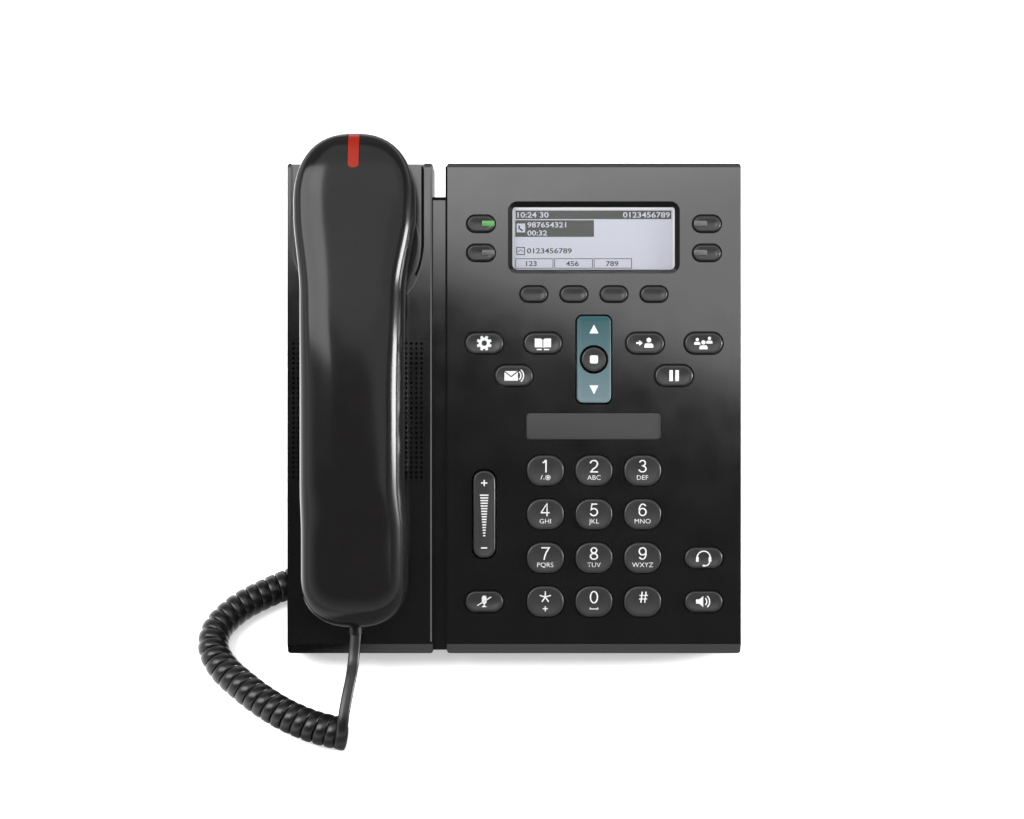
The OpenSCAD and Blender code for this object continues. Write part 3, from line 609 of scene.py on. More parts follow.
def settle_printed(cap, prints, body, node, finish="key_plastic"):
    """Lays flat print on the top of its key, and settles both."""
    apply_modifier(
        prints, "SHRINKWRAP", target=cap, wrap_method="PROJECT", use_project_z=True,
        use_negative_direction=True, use_positive_direction=False, offset=0.03 * MM,
    )
    settle(cap, body, finish, (node,))
    settle(prints, body, "legend_print")


# ---- Handset ----


def eased(t):
    t = max(0.0, min(1.0, t))
    return t * t * (3 - 2 * t)


def end_share(s, length):
    return 1.0 if s >= length else max(0.0, 1 - (1 - s / length) ** 2.4) ** (1 / 2.4)


def handset_share(s):
    return min(end_share(s, MOUTH_ROUND), end_share(HANDSET_LENGTH - s, EAR_ROUND))


def ear_side(s):
    return eased((s - HANDSET_LENGTH + 66) / 34)


def mouth_side(s):
    return eased((58 - s) / 20)


def handset_half_width(s):
    return handset_share(s) * (21.7 + 3.5 * ear_side(s) + 0.4 * mouth_side(s))


def handset_middle(s):
    return HANDSET_X - 0.9 * (1 - ear_side(s)) * (1 - mouth_side(s))


def handset_top(s):
    arch = 14.4 + 1.6 * math.sin(math.pi * s / HANDSET_LENGTH)
    return handset_share(s) ** 0.85 * (arch - 3.2 * eased((s - 100) / 76) - 1.4 * mouth_side(s))


def handset_under(s):
    deep = max(eased((s - HANDSET_LENGTH + 78) / 18), eased((66 - s) / 16))
    return handset_share(s) * (5 + 10 * deep)


def handset_stations():
    """Distances from the mouth end, close together where the ends round over."""
    ends = [0.15, 0.6, 1.3, 2.4, 3.8, 5.5, 7.6, 10, 13, 16, 19.5]
    low = [23 + i * 3.2 for i in range(46)]
    high = [HANDSET_LENGTH - d for d in (28, 24.5, 21, 17.5, 14.5, 11.5, 9, 6.8, 4.9, 3.3, 2, 1, 0.4, 0.1)]
    return ends + [s for s in low if s < high[0] - 1.5] + high


def shell_ring(s, up):
    """The half section of a shell at one station, from its right seam edge to its left."""
    half, middle = handset_half_width(s), handset_middle(s)
    depth = handset_top(s) if up > 0 else handset_under(s)
    power = 2.7 + 0.4 * eased((s - 95) / 35) + 0.2 * eased((s - 155) / 30) if up > 0 else 4.5
    lip = min(0.35, half * 0.2)
    ring = [Vector((middle + (half - lip), HANDSET_START + s, HANDSET_SEAM))]
    for i in range(SHELL_STEPS + 1):
        angle = math.pi * i / SHELL_STEPS
        c, t = math.cos(angle), math.sin(angle)
        x = middle + half * math.copysign(abs(c) ** (2 / power), c)
        z = HANDSET_SEAM + up * (0.12 + (depth - 0.12) * abs(t) ** (2 / power))
        ring.append(Vector((x, HANDSET_START + s, z)))
    ring.append(Vector((middle - (half - lip), HANDSET_START + s, HANDSET_SEAM)))
    return ring


def handset_shell(name, up):
    """One shell of the handset: a line of vertices drawn out station by station, closed at its seam."""
    stations = handset_stations()
    count = SHELL_STEPS + 3
    deselect()
    bpy.ops.mesh.primitive_circle_add(vertices=count, radius=1 * MM, fill_type="NOTHING")
    piece = named(name)
    edit(piece)
    bpy.ops.mesh.select_mode(type="EDGE")
    bpy.ops.mesh.select_all(action="SELECT")
    for _ in stations[1:]:
        bpy.ops.mesh.extrude_region_move(TRANSFORM_OT_translate={"value": (0, 1 * MM, 0)})
    mesh = bmesh.from_edit_mesh(piece.data)
    mesh.verts.ensure_lookup_table()
    for row, s in enumerate(stations):
        for column, point in enumerate(shell_ring(s, up)):
            mesh.verts[row * count + column].co = point * MM
    bmesh.update_edit_mesh(piece.data)
    bpy.ops.mesh.select_mode(type="EDGE")
    bpy.ops.mesh.select_all(action="DESELECT")
    bpy.ops.mesh.select_non_manifold()
    bpy.ops.mesh.fill_holes(sides=0)
    return done(piece, 50)


# ---- Cord ----


def curve_through(points, step):
    """A smooth line through the points, cut into even steps."""
    points = [Vector(p) for p in points]
    points = [2 * points[0] - points[1], *points, 2 * points[-1] - points[-2]]
    fine = []
    for a, b, c, d in zip(points, points[1:], points[2:], points[3:]):
        for i in range(24):
            t = i / 24
            fine.append(
                0.5 * (2 * b + (c - a) * t + (2 * a - 5 * b + 4 * c - d) * t * t
                       + (3 * b - a - 3 * c + d) * t ** 3)
            )
    fine.append(points[-2])
    return evenly(fine, step)


def evenly(line, step):
    """The same line with its points an even step apart."""
    lengths = [0.0]
    for a, b in zip(line, line[1:]):
        lengths.append(lengths[-1] + (b - a).length)
    count = max(2, round(lengths[-1] / step))
    out, j = [], 0
    for i in range(count + 1):
        want = lengths[-1] * i / count
        while j < len(line) - 2 and lengths[j + 1] < want:
            j += 1
        span = lengths[j + 1] - lengths[j] or 1
        out.append(line[j].lerp(line[j + 1], (want - lengths[j]) / span))
    return out


def ribbon(name, path, flats):
    """A flat cord with rounded edges along the path; flats gives the way its flat looks at each point."""
    half_w, half_t, bead = CORD_WIDTH / 2, CORD_THICKNESS / 2, 0.75
    section = [
        (half_w * math.copysign(abs(math.cos(a)) ** bead, math.cos(a)),
         half_t * math.copysign(abs(math.sin(a)) ** bead, math.sin(a)))
        for a in (math.tau * i / 12 for i in range(12))
    ]
    verts, faces, count = [], [], len(section)
    for i, point in enumerate(path):
        side = flats[i].cross(heading(path, i)).normalized()
        up = heading(path, i).cross(side)
        verts += [(point + side * w + up * t) * MM for w, t in section]
    for i in range(len(path) - 1):
        for k in range(count):
            a, b = i * count + k, i * count + (k + 1) % count
            faces.append((a, b, b + count, a + count))
    faces.append(tuple(range(count))[::-1])
    faces.append(tuple(range((len(path) - 1) * count, len(path) * count)))
    mesh = bpy.data.meshes.new(name)
    mesh.from_pydata(verts, [], faces)
    piece = bpy.data.objects.new(name, mesh)
    bpy.context.scene.collection.objects.link(piece)
    return done(piece, 60)


def heading(path, i):
    """The way a path runs at one of its points."""
    return (path[min(i + 1, len(path) - 1)] - path[max(i - 1, 0)]).normalized()


def lead_flats(path):
    """A lead bends on its flat, with its width from side to side."""
    return [heading(path, i).cross(Vector((1, 0, 0))) for i in range(len(path))]


def coil_lines(sizes):
    """The coil's own line and the way its flat looks, from the handset's end to the far end."""
    axis = [Vector((x, y, COIL_AXIS_HEIGHT)) for x, y in COIL_AXIS]
    start = axis[0] - (axis[1] - axis[0]).normalized() * COIL_RUN_IN
    end = axis[-1] + Vector((0, COIL_RUN_OUT, 0))
    axis = evenly(curve_through([start, *axis, end], AXIS_STEP), AXIS_STEP)
    total = (len(axis) - 1) * AXIS_STEP
    turns = sizes.coil_turns
    even = (total - LAST_TURN_RUN) / (turns - LAST_TURN)
    path, flats = [], []
    for i in range(turns * COIL_STEPS + 1):
        turn = i / COIL_STEPS
        left = turns - turn
        along = total - LAST_TURN_RUN * left / LAST_TURN if left < LAST_TURN else even * turn
        j = min(int(along / AXIS_STEP), len(axis) - 2)
        centre = axis[j].lerp(axis[j + 1], along / AXIS_STEP - j)
        ahead = (axis[min(j + 8, len(axis) - 1)] - axis[max(j - 8, 0)]).normalized()
        level = ahead.cross(Vector((0, 0, 1))).normalized()
        outer = (sizes.coil_near + (sizes.coil_far - sizes.coil_near) * along / total) / MM / 2
        radius = (outer - CORD_THICKNESS / 2) * eased(left / LAST_TURN)
        height = COIL_AXIS_HEIGHT + (outer + 0.05 - COIL_AXIS_HEIGHT) * eased(left / 2)
        angle = math.tau * (turn - 0.25)
        out = level * math.sin(angle) - Vector((0, 0, 1)) * math.cos(angle)
        path.append(Vector((centre.x, centre.y, height)) + out * radius)
        flats.append(-out)
    return path, flats


# ---- Finishes ----


def node_group(name, inputs, outputs):
    """An empty shader group with named values, colours and results."""
    group = bpy.data.node_groups.new(name, "ShaderNodeTree")
    for label, kind, value in inputs:
        socket = group.interface.new_socket(name=label, in_out="INPUT", socket_type=kind)
        socket.default_value = value
    for label, kind in outputs:
        group.interface.new_socket(name=label, in_out="OUTPUT", socket_type=kind)
    return group, group.nodes.new("NodeGroupInput"), group.nodes.new("NodeGroupOutput")


def feed(tree, value, socket):
    """Links a socket to a result, or sets it to a number or colour."""
    if isinstance(value, bpy.types.NodeSocket):
        tree.links.new(value, socket)
    else:
        socket.default_value = value


def place_of(tree, kind="Object"):
    """The coordinates that a tree's textures are laid on."""
    return tree.nodes.new("ShaderNodeTexCoord").outputs[kind]


def axes_of(tree, kind="Object"):
    """The same coordinates as separate X, Y and Z."""
    split = tree.nodes.new("ShaderNodeSeparateXYZ")
    tree.links.new(place_of(tree, kind), split.inputs["Vector"])
    return split.outputs


def noise(tree, coordinates, scale, detail=2.0):
    """A noise texture on the object's own coordinates."""
    node = tree.nodes.new("ShaderNodeTexNoise")
    node.inputs["Scale"].default_value = scale
    node.inputs["Detail"].default_value = detail
    tree.links.new(coordinates, node.inputs["Vector"])
    return node


def maths(tree, operation, a, b, clamp=False):
    """A maths node on two sockets or numbers; returns its result."""
    node = tree.nodes.new("ShaderNodeMath")
    node.operation = operation
    node.use_clamp = clamp
    feed(tree, a, node.inputs[0])
    feed(tree, b, node.inputs[1])
    return node.outputs[0]


def ramp(tree, value, low, high, start=0.0, end=1.0):
    """A value spread from one range to another."""
    node = tree.nodes.new("ShaderNodeMapRange")
    labels = ("Value", "From Min", "From Max", "To Min", "To Max")
    for target, label in zip((value, low, high, start, end), labels):
        feed(tree, target, node.inputs[label])
    return node.outputs["Result"]


def mixed(tree, share, a, b):
    """Two colours mixed by a share."""
    node = tree.nodes.new("ShaderNodeMix")
    node.data_type = "RGBA"
    sockets = [s for s in node.inputs if s.enabled]
    for value, socket in zip((share, a, b), sockets):
        feed(tree, value, socket)
    return [s for s in node.outputs if s.enabled][0]


def make_moulded_group():
    """Moulded surface: a slightly uneven colour and gloss, and a fine grain to raise."""
    group, given, out = node_group(
        "Moulded surface",
        [
            ("Colour", "NodeSocketColor", (0.02, 0.02, 0.02, 1)),
            ("Mottle", "NodeSocketFloat", 0.1),
            ("Roughness", "NodeSocketFloat", 0.4),
            ("Spread", "NodeSocketFloat", 0.04),
            ("Grain size", "NodeSocketFloat", 1800.0),
        ],
        [("Colour", "NodeSocketColor"), ("Roughness", "NodeSocketFloat"), ("Height", "NodeSocketFloat")],
    )
    place = place_of(group)
    cloud = noise(group, place, 70, 4).outputs["Fac"]
    speck = noise(group, place, 2600, 1).outputs["Fac"]
    grain = noise(group, place, 1800, 2)
    group.links.new(given.outputs["Grain size"], grain.inputs["Scale"])
    uneven = maths(group, "ADD", maths(group, "MULTIPLY", cloud, 0.7), maths(group, "MULTIPLY", speck, 0.3))
    swing = maths(group, "MULTIPLY", maths(group, "SUBTRACT", uneven, 0.5), given.outputs["Mottle"])
    bright = group.nodes.new("ShaderNodeHueSaturation")
    group.links.new(given.outputs["Colour"], bright.inputs["Color"])
    group.links.new(maths(group, "ADD", maths(group, "MULTIPLY", swing, 4), 1.0), bright.inputs["Value"])
    group.links.new(bright.outputs["Color"], out.inputs["Colour"])
    gloss = maths(group, "MULTIPLY", maths(group, "SUBTRACT", cloud, 0.5), given.outputs["Spread"])
    gloss = maths(group, "ADD", maths(group, "MULTIPLY", gloss, 4), given.outputs["Roughness"], clamp=True)
    group.links.new(gloss, out.inputs["Roughness"])
    group.links.new(grain.outputs["Fac"], out.inputs["Height"])


def make_dust_group():
    """Dust: a thin scatter of pale specks."""
    group, given, out = node_group(
        "Dust specks", [("Amount", "NodeSocketFloat", 0.3)], [("Mask", "NodeSocketFloat")]
    )
    place = place_of(group)
    cells = group.nodes.new("ShaderNodeTexVoronoi")
    cells.inputs["Scale"].default_value = 420
    group.links.new(place, cells.inputs["Vector"])
    speck = ramp(group, cells.outputs["Distance"], 0.05, 0.1, 1.0, 0.0)
    patch = ramp(group, noise(group, place, 55, 3).outputs["Fac"], 0.45, 0.7)
    specks = maths(group, "MULTIPLY", speck, patch)
    mask = maths(group, "MULTIPLY", specks, given.outputs["Amount"], clamp=True)
    group.links.new(mask, out.inputs["Mask"])


def material(name):
    """A new material with only its output and its Principled shader."""
    plain = bpy.data.materials.get(name)
    if plain is not None:
        plain.name = name + "_plain"
    made = bpy.data.materials.new(name)
    made.use_nodes = True
    return made, made.node_tree, made.node_tree.nodes["Principled BSDF"]


def use_group(tree, name, **values):
    """Places a shared group in a material with its own values."""
    node = tree.nodes.new("ShaderNodeGroup")
    node.node_tree = bpy.data.node_groups[name]
    for label, value in values.items():
        node.inputs[label.replace("_", " ")].default_value = value
    return node


def moulded(name, colour, roughness, mottle=0.1, spread=0.03, grain=1800.0, depth=0.006,
            dust=0.0, **shader):
    """A moulded finish: uneven colour and gloss, raised grain and a little dust."""
    _, tree, surface = material(name)
    base = use_group(
        tree, "Moulded surface",
        Colour=(*colour, 1), Mottle=mottle, Roughness=roughness, Spread=spread, Grain_size=grain,
    )
    result = base.outputs["Colour"]
    if dust:
        specks = use_group(tree, "Dust specks", Amount=dust)
        result = mixed(tree, specks.outputs["Mask"], result, (0.35, 0.34, 0.32, 1))
    tree.links.new(result, surface.inputs["Base Color"])
    tree.links.new(base.outputs["Roughness"], surface.inputs["Roughness"])
    bump = tree.nodes.new("ShaderNodeBump")
    bump.inputs["Strength"].default_value = 1.0
    bump.inputs["Distance"].default_value = depth * MM
    tree.links.new(base.outputs["Height"], bump.inputs["Height"])
    tree.links.new(bump.outputs["Normal"], surface.inputs["Normal"])
    for label, value in shader.items():
        surface.inputs[label.replace("_", " ")].default_value = value


def make_finishes(colours):
    """Every finish of the phone."""
    make_moulded_group()
    make_dust_group()
    moulded("housing_plastic", colours.housing, 0.13, mottle=0.05, grain=1500, depth=0.002, dust=0.01,
            Specular_IOR_Level=1.0)
    moulded("handset_gloss", colours.handset, 0.15, mottle=0.1, spread=0.02, grain=260, depth=0.001,
            dust=0.01, Specular_IOR_Level=0.14)
    moulded("key_plastic", colours.key, 0.4, mottle=0.1, grain=1900, depth=0.006, Specular_IOR_Level=0.4)
    moulded("display_panel", (0.004, 0.004, 0.0042), 0.5, grain=1500, depth=0.006, Specular_IOR_Level=0.08)
    # Flat lines on the housing: painted shade in its grooves, and painted highlights along their edges.
    moulded("seam_dark", (0.0012, 0.0012, 0.0012), 0.8, grain=1500, depth=0.002, Specular_IOR_Level=0.1)
    moulded("seam_light", (0.1, 0.1, 0.102), 0.5, grain=1500, depth=0.002, Specular_IOR_Level=0.2)
    moulded("screen", colours.screen, 0.5, mottle=0.02, spread=0.01, grain=2600, depth=0.001,
            Emission_Color=(0.245, 0.255, 0.292, 1), Emission_Strength=1.0)
    moulded("screen_mark", colours.screen_mark, 0.5, mottle=0.03, spread=0.01, grain=2600, depth=0.001)
    moulded("screen_edge", (0.25, 0.255, 0.26), 0.5, mottle=0.02, spread=0.01, grain=2600, depth=0.001,
            Emission_Color=(0.44, 0.445, 0.45, 1), Emission_Strength=1.0)
    moulded("legend_print", colours.legend, 0.5, mottle=0.03, spread=0.02, grain=2600, depth=0.001)
    moulded("label_plastic", (0.022, 0.0215, 0.0225), 0.6, mottle=0.05, spread=0.02, grain=500, depth=0.003,
            Specular_IOR_Level=0.3)
    moulded("rubber", (0.014, 0.014, 0.014), 0.8, mottle=0.14, grain=1100, depth=0.02, dust=0.3)
    moulded("steel", (0.55, 0.55, 0.56), 0.34, mottle=0.05, spread=0.05, grain=900, depth=0.003,
            Metallic=1.0)
    moulded("silicone", (0.2, 0.21, 0.22), 0.6, mottle=0.05, grain=1200, depth=0.006)
    moulded("circuit_board", (0.01, 0.07, 0.03), 0.45, mottle=0.2, grain=700, depth=0.01)
    moulded("capsule", (0.03, 0.03, 0.032), 0.5, mottle=0.1, grain=900, depth=0.01)
    moulded("jack_plastic", (0.012, 0.012, 0.012), 0.5, mottle=0.1, grain=1300, depth=0.008, dust=0.2)
    moulded("cord_plastic", colours.cord, 0.3, mottle=0.1, spread=0.03, grain=700, depth=0.006,
            dust=0.03, Specular_IOR_Level=0.3)
    moulded("lamp_red", colours.lamp, 0.3, mottle=0.05, spread=0.02, grain=500, depth=0.002,
            Specular_IOR_Level=0.15, Emission_Color=(0.5, 0.03, 0.01, 1), Emission_Strength=0.07)
    moulded("lamp_lit", colours.lit, 0.3, mottle=0.05, spread=0.02, grain=600, depth=0.002,
            Emission_Color=(0.08, 0.5, 0.1, 1), Emission_Strength=0.09)
    moulded("lamp_unlit", (0.055, 0.057, 0.055), 0.3, mottle=0.08, spread=0.02, grain=600, depth=0.002)
    moulded("display_clear", (0.02, 0.02, 0.022), 0.08, mottle=0.02, spread=0.01, grain=200,
            depth=0.0002, Alpha=0.06)
    make_rocker_finish(colours)


def make_rocker_finish(colours):
    """Teal rocker, paler towards its lower end: the paleness is a painted sheen."""
    _, tree, surface = material("rocker_teal")
    low, high = on_face(0, NAV_ROW - 18, FACE_LEVEL).z, on_face(0, NAV_ROW + 18, FACE_LEVEL).z
    base = use_group(
        tree, "Moulded surface",
        Colour=(*colours.rocker, 1), Mottle=0.05, Roughness=0.4, Spread=0.02, Grain_size=1900.0,
    )
    # Painted sheen: the colour pales from the rocker's upper end to its lower end.
    painted_sheen_share = ramp(tree, axes_of(tree)["Z"], low, high, 1.0, 0.0)
    shade = mixed(tree, painted_sheen_share, base.outputs["Colour"], (*colours.rocker_painted_sheen, 1))
    tree.links.new(shade, surface.inputs["Base Color"])
    tree.links.new(base.outputs["Roughness"], surface.inputs["Roughness"])
    surface.inputs["Specular IOR Level"].default_value = 0.2


CAD_FINISHES = {
    "housing_plastic": ("front_housing", "cradle_cover", "rear_housing", "speaker_grille", "fold_stand"),
    "rubber": ("front_foot", "stand_pads"),
    "steel": ("stand_hinge_pin", "case_screws"),
    "display_clear": ("display_window",),
    "silicone": ("key_mat",),
    "circuit_board": ("main_board",),
    "capsule": ("loudspeaker", "handset_capsules"),
    "jack_plastic": ("rear_jacks", "base_plug"),
    "key_plastic": ("hook_switch",),
    "handset_gloss": ("ear_cap", "mouth_cap"),
    "cord_plastic": ("handset_plug",),
}


# ---- Operators, one for each piece or group of pieces ----


class DESKPHONE_OT_cords(bpy.types.Operator):
    """Makes the coiled cord with the lead into the back, and the lead up to the handset"""

    bl_idname = "desk_phone.cords"
    bl_label = "Cords"

    def execute(self, context):
        coil, flats = coil_lines(context.scene.phone_sizes)
        lead = curve_through([coil[-1], *map(Vector, BASE_LEAD), on_face(*BASE_PLUG_END) / MM], 2)
        whole = coil + lead[1:]
        piece = ribbon("coiled_cord", whole, flats + lead_flats(lead)[1:])
        settle(piece, "housing", "cord_plastic", ("cord_coil", "cord_base_lead"), leaned=False)
        whole.reverse()
        plug = on_face(*HANDSET_PLUG_END) / MM
        lead = curve_through([coil[0], *map(Vector, HANDSET_LEAD[::-1]), plug], 2)
        piece = ribbon("handset_cord", lead, flats[:1] + lead_flats(lead)[1:])
        dress(piece, "cord_plastic")
        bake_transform(piece)
        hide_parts("cord_handset_lead")
        return {"FINISHED"}


class DESKPHONE_OT_handset(bpy.types.Operator):
    """Makes the handset's two shells and its message lamp"""

    bl_idname = "desk_phone.handset"
    bl_label = "Handset"

    def execute(self, context):
        upper = handset_shell("handset_upper", 1)
        lower = handset_shell("handset_lower", -1)
        lamp = self.lamp(upper)
        settle(lamp, "handset", "lamp_red", ("message_lamp",))
        settle(upper, "handset", "handset_gloss", ("handset_upper_shell",))
        settle(lower, "handset", "handset_gloss", ("handset_lower_shell",))
        return {"FINISHED"}

    def lamp(self, upper):
        """Takes the lamp's strip out of the upper shell, and gives it back a hair lower as its own lens."""
        end = HANDSET_START + HANDSET_LENGTH
        strip = self.strip(4.6, end)
        lens = upper.copy()
        lens.data = upper.data.copy()
        bpy.context.scene.collection.objects.link(lens)
        lens.name = lens.data.name = "message_lamp_lens"
        apply_modifier(lens, "BOOLEAN", operation="INTERSECT", solver="EXACT", object=strip)
        bpy.data.objects.remove(strip)
        lens.data.transform(Matrix.Translation((0, -0.15 * MM, -0.15 * MM)))
        done(lens, 40)
        cut(upper, self.strip(5.0, end))
        return lens

    def strip(self, width, end):
        """An upright rounded block over the lamp's place, left in object mode."""
        strip = outline(
            "lamp_strip", (HANDSET_X, end - 5.6), (width, 18.6), width / 2 - 0.3, HANDSET_SEAM + 2, steps=6
        )
        lift(40)
        return done(strip)


def line_key_middle(i):
    """Line keys run down the left of the display, and then down its right."""
    return PANEL_X + (-LINE_COLUMN if i < 2 else LINE_COLUMN), LINE_ROWS[i % 2]


class DESKPHONE_OT_keys(bpy.types.Operator):
    """Makes the dial keys, soft keys, line keys and feature keys with their print"""

    bl_idname = "desk_phone.keys"
    bl_label = "Keys"

    def execute(self, context):
        sizes = context.scene.phone_sizes
        for i, mark in enumerate(DIAL_MARKS):
            middle = (PANEL_X + (i % 3 - 1) * DIAL_PITCH, DIAL_ROWS[i // 3])
            self.dial_key(sizes, mark, DIAL_LETTERS[i], middle)
        for i in range(4):
            middle = (PANEL_X + (i - 1.5) * SOFT_PITCH, SOFT_ROW)
            self.plain_key(sizes, f"soft_key_{i + 1}", middle, SOFT_SIZE)
            self.plain_key(sizes, f"line_key_{i + 1}", line_key_middle(i), LINE_SIZE)
        for name, (icon, across, row) in FEATURE_KEYS.items():
            middle = (PANEL_X + across, row)
            cap = self.cap(sizes, name, middle, FEATURE_SIZE)
            prints = flat_shape(name + "_print", [moved(points, *middle) for points in icon()], PRINT_FROM)
            settle_printed(cap, prints, name, name)
        return {"FINISHED"}

    def cap(self, sizes, name, middle, size):
        return key_cap(
            name + "_cap", middle, size, sizes.key_top / MM, sizes.key_edge / MM, sizes.key_dish / MM
        )

    def plain_key(self, sizes, name, middle, size):
        settle(self.cap(sizes, name, middle, size), name, "key_plastic", (name,))

    def dial_key(self, sizes, mark, letters, middle):
        name = "dial_key_" + mark
        cap = self.cap(sizes, name, middle, DIAL_SIZE)
        numeral = sizes.numeral_height / MM
        sign = {"star": "*", "hash": "#"}.get(mark, mark)
        height = {"star": 6.8, "hash": 4.6}.get(mark, numeral)
        stroke = 0.42 if mark == "hash" else 0.5
        shapes = numeral_outlines(sign, height, middle[0], middle[1] + 1.85, stroke)
        if letters == "+":
            shapes += plus_outlines(middle[0], middle[1] - 3, 2.1, 0.4)
        elif letters == "_":
            tray = [(-1.6, 0.3), (-1.6, -0.3), (1.6, -0.3), (1.6, 0.3)]
            shapes.append([drawn_line(moved(tray, middle[0], middle[1] - 2.8), 0.32)])
        elif letters == "/.@":
            shapes += at_outlines(middle[0], middle[1] - 2.9)
        parts = flat_shapes(name + "_stroke", shapes, PRINT_FROM)
        if letters.isalpha():
            parts.append(
                words(name + "_letters", letters, sizes.letter_height / MM,
                      (middle[0], middle[1] - 2.9), PRINT_FROM, wide=1.08, thin=0.03)
            )
        settle_printed(cap, joined(name + "_print", parts), name, name)


class DESKPHONE_OT_display(bpy.types.Operator):
    """Makes the display's panel with its screen, and what the screen shows"""

    bl_idname = "desk_phone.display"
    bl_label = "Display"

    def execute(self, context):
        panel = slab("display_panel", (PANEL_X, DISPLAY_ROW), (71.1, 29.3), 1, 15, DISPLAY_TOP, edge=0.15)
        settle(panel, "housing", "display_panel", ("display_module",))
        bezel = outline("display_bezel", (PANEL_X, DISPLAY_ROW), (72.0, 30.2), 3.9, FACE_LEVEL + 0.01)
        bpy.ops.mesh.inset(thickness=1.85 * MM, depth=-2.4 * MM)
        bpy.ops.mesh.delete(type="FACE")
        low = (DISPLAY_ROW - 13) * MM
        pick(bezel, "FACE", lambda face: face.calc_center_median().y < low)
        bpy.ops.mesh.delete(type="FACE")
        settle(done(bezel, 60), "housing", "display_panel")
        edge = slab("screen_edge", (33.15, 174.1), (69.0, 27.3), 0.5, 23.9, DISPLAY_TOP + 0.08, edge=0.05)
        settle(edge, "housing", "screen_edge")
        top = DISPLAY_TOP + 0.13
        screen = slab("screen", (33.3, 174.25), (66.9, 25.2), 0.2, DISPLAY_TOP, top, edge=0.02)
        settle(screen, "housing", "screen")
        bars = [
            [box_outline(0.638, 182.754, 66.219, 186.377)],
            [box_outline(0.47, 175.299, 33.618, 182.333)],
            [box_outline(0.933, 167.675, 4.556, 171.045), box_outline(1.312, 168.054, 4.177, 170.666)],
            [drawn_line([(1.607, 168.939), (2.744, 169.95), (3.882, 168.939)], 0.28)],
        ]
        low, high = 161.947, 166.243
        for left, right in ((0.512, 16.518), (16.939, 33.113), (33.534, 49.624)):
            hollow = box_outline(left + 0.3, low + 0.3, right - 0.3, high - 0.3)
            bars.append([box_outline(left, low, right, high), hollow])
        marks = flat_shapes("screen_bar", bars, DARK_PRINT) + self.lines("screen_text", DARK_PRINT, (
            ("0123456789", 5.398, 169.444, 2.1), ("123", 4.977, 164.053, 2.0),
            ("456", 21.825, 164.053, 2.0), ("789", 38.673, 164.053, 2.0),
        ))
        settle(joined("screen_marks", marks), "housing", "screen_mark")
        light = [flat_shape("screen_icon", [
            box_outline(1.102, 177.195, 4.64, 180.901),
            drawn_line([(2.028, 180.101), (2.155, 178.837), (3.629, 177.784)], 0.7),
        ], LIGHT_PRINT)] + self.lines("screen_light", LIGHT_PRINT, (
            ("10:24 30", 1.397, 184.566, 2.2), ("0123456789", 45.833, 184.566, 2.2),
            ("987654321", 5.566, 180.354, 2.1), ("00:32", 5.566, 176.942, 2.1),
        ))
        settle(joined("screen_lights", light), "housing", "screen")
        return {"FINISHED"}

    def lines(self, name, level, rows):
        """Lines of numerals, each with where it starts, its middle and its height."""
        made = []
        for i, (text, left, middle, height) in enumerate(rows):
            piece = words(f"{name}_{i}", text, height, (0, 0), level, wide=1.25, thin=-0.05)
            piece.data.transform(Matrix.Translation((left * MM - breadth(piece)[0], middle * MM, 0)))
            made.append(piece)
        return made


class DESKPHONE_OT_rockers(bpy.types.Operator):
    """Makes the navigation rocker, the select button and the volume rocker"""

    bl_idname = "desk_phone.rockers"
    bl_label = "Rockers"

    def execute(self, context):
        self.navigation()
        self.select()
        self.volume()
        return {"FINISHED"}

    def cap(self, name, middle, size, radius, rise, edge, dish, steps=10):
        """A cap with a rounded edge and a dished top; dish gives each inset and its depth."""
        cap = outline(name, middle, size, radius, FLANGE_LOW, steps)
        lift(rise)
        bpy.ops.mesh.bevel(offset=edge * MM, segments=4, affect="EDGES")
        pick_top(cap)
        for inset, depth in dish:
            bpy.ops.mesh.inset(thickness=inset * MM, depth=-depth * MM)
        return done(cap, 40)

    def navigation(self):
        middle = (PANEL_X, NAV_ROW)
        dish = ((0.3, 0.08), (0.6, 0.14), (0.8, 0.08))
        cap = self.cap("nav_cap", middle, (14.2, 36.4), 2.5, 5.3, 0.6, dish, steps=8)
        drill(cap, middle, 6.05, 20, 32)
        triangle = [(-1.9, -1.7), (1.9, -1.7), (0, 2)]
        up = moved(triangle, PANEL_X, NAV_ROW + 12.6)
        down = [(x, 2 * (NAV_ROW - 12.6) - y) for x, y in moved(triangle, PANEL_X, NAV_ROW - 12.6)]
        prints = flat_shape("nav_print", [up, down], PRINT_FROM)
        settle_printed(cap, prints, "navigation", "nav_rocker", "rocker_teal")

    def select(self):
        dish = ((0.6, 0.08), (1, 0.14), (1.2, 0.1))
        cap = self.cap("select_cap", (PANEL_X, NAV_ROW), (10.3, 10.3), 5.15, 5.1, 0.7, dish)
        prints = flat_shape("select_print", [rounded_outline(PANEL_X, NAV_ROW, 3.4, 3.4, 0.7)], PRINT_FROM)
        settle_printed(cap, prints, "select", "select_button")

    def volume(self):
        x, y = PANEL_X - OUTER_COLUMN, DIAL_ROWS[1]
        dish = ((0.6, 0.1), (1, 0.16), (1.1, 0.1))
        cap = self.cap("volume_cap", (x, y), (9.2, 36.4), 4.2, 5.4, 0.7, dish)
        shapes = plus_outlines(x, y + 13.1, 2.6, 0.55)
        shapes.append([stroke_outline(x - 1.3, y - 14.1, x + 1.3, y - 14.1, 0.55)])
        for i in range(16):
            half = (3.6 - 2.7 * i / 15) / 2
            level = y + 8 - i * 1.13
            shapes.append([box_outline(x - half, level - 0.28, x + half, level + 0.28)])
        prints = joined("volume_print", flat_shapes("volume_mark", shapes, PRINT_FROM))
        settle_printed(cap, prints, "volume", "volume_rocker")


def rounded_outline(x, y, width, height, radius, steps=5):
    """The outline of a rounded rectangle, in millimetres."""
    points = []
    for corner, (sx, sy) in enumerate(((1, 1), (-1, 1), (-1, -1), (1, -1))):
        points += arc_points(
            x + sx * (width / 2 - radius), y + sy * (height / 2 - radius),
            radius, radius, 90 * corner, 90 * corner + 90, steps,
        )
    return points


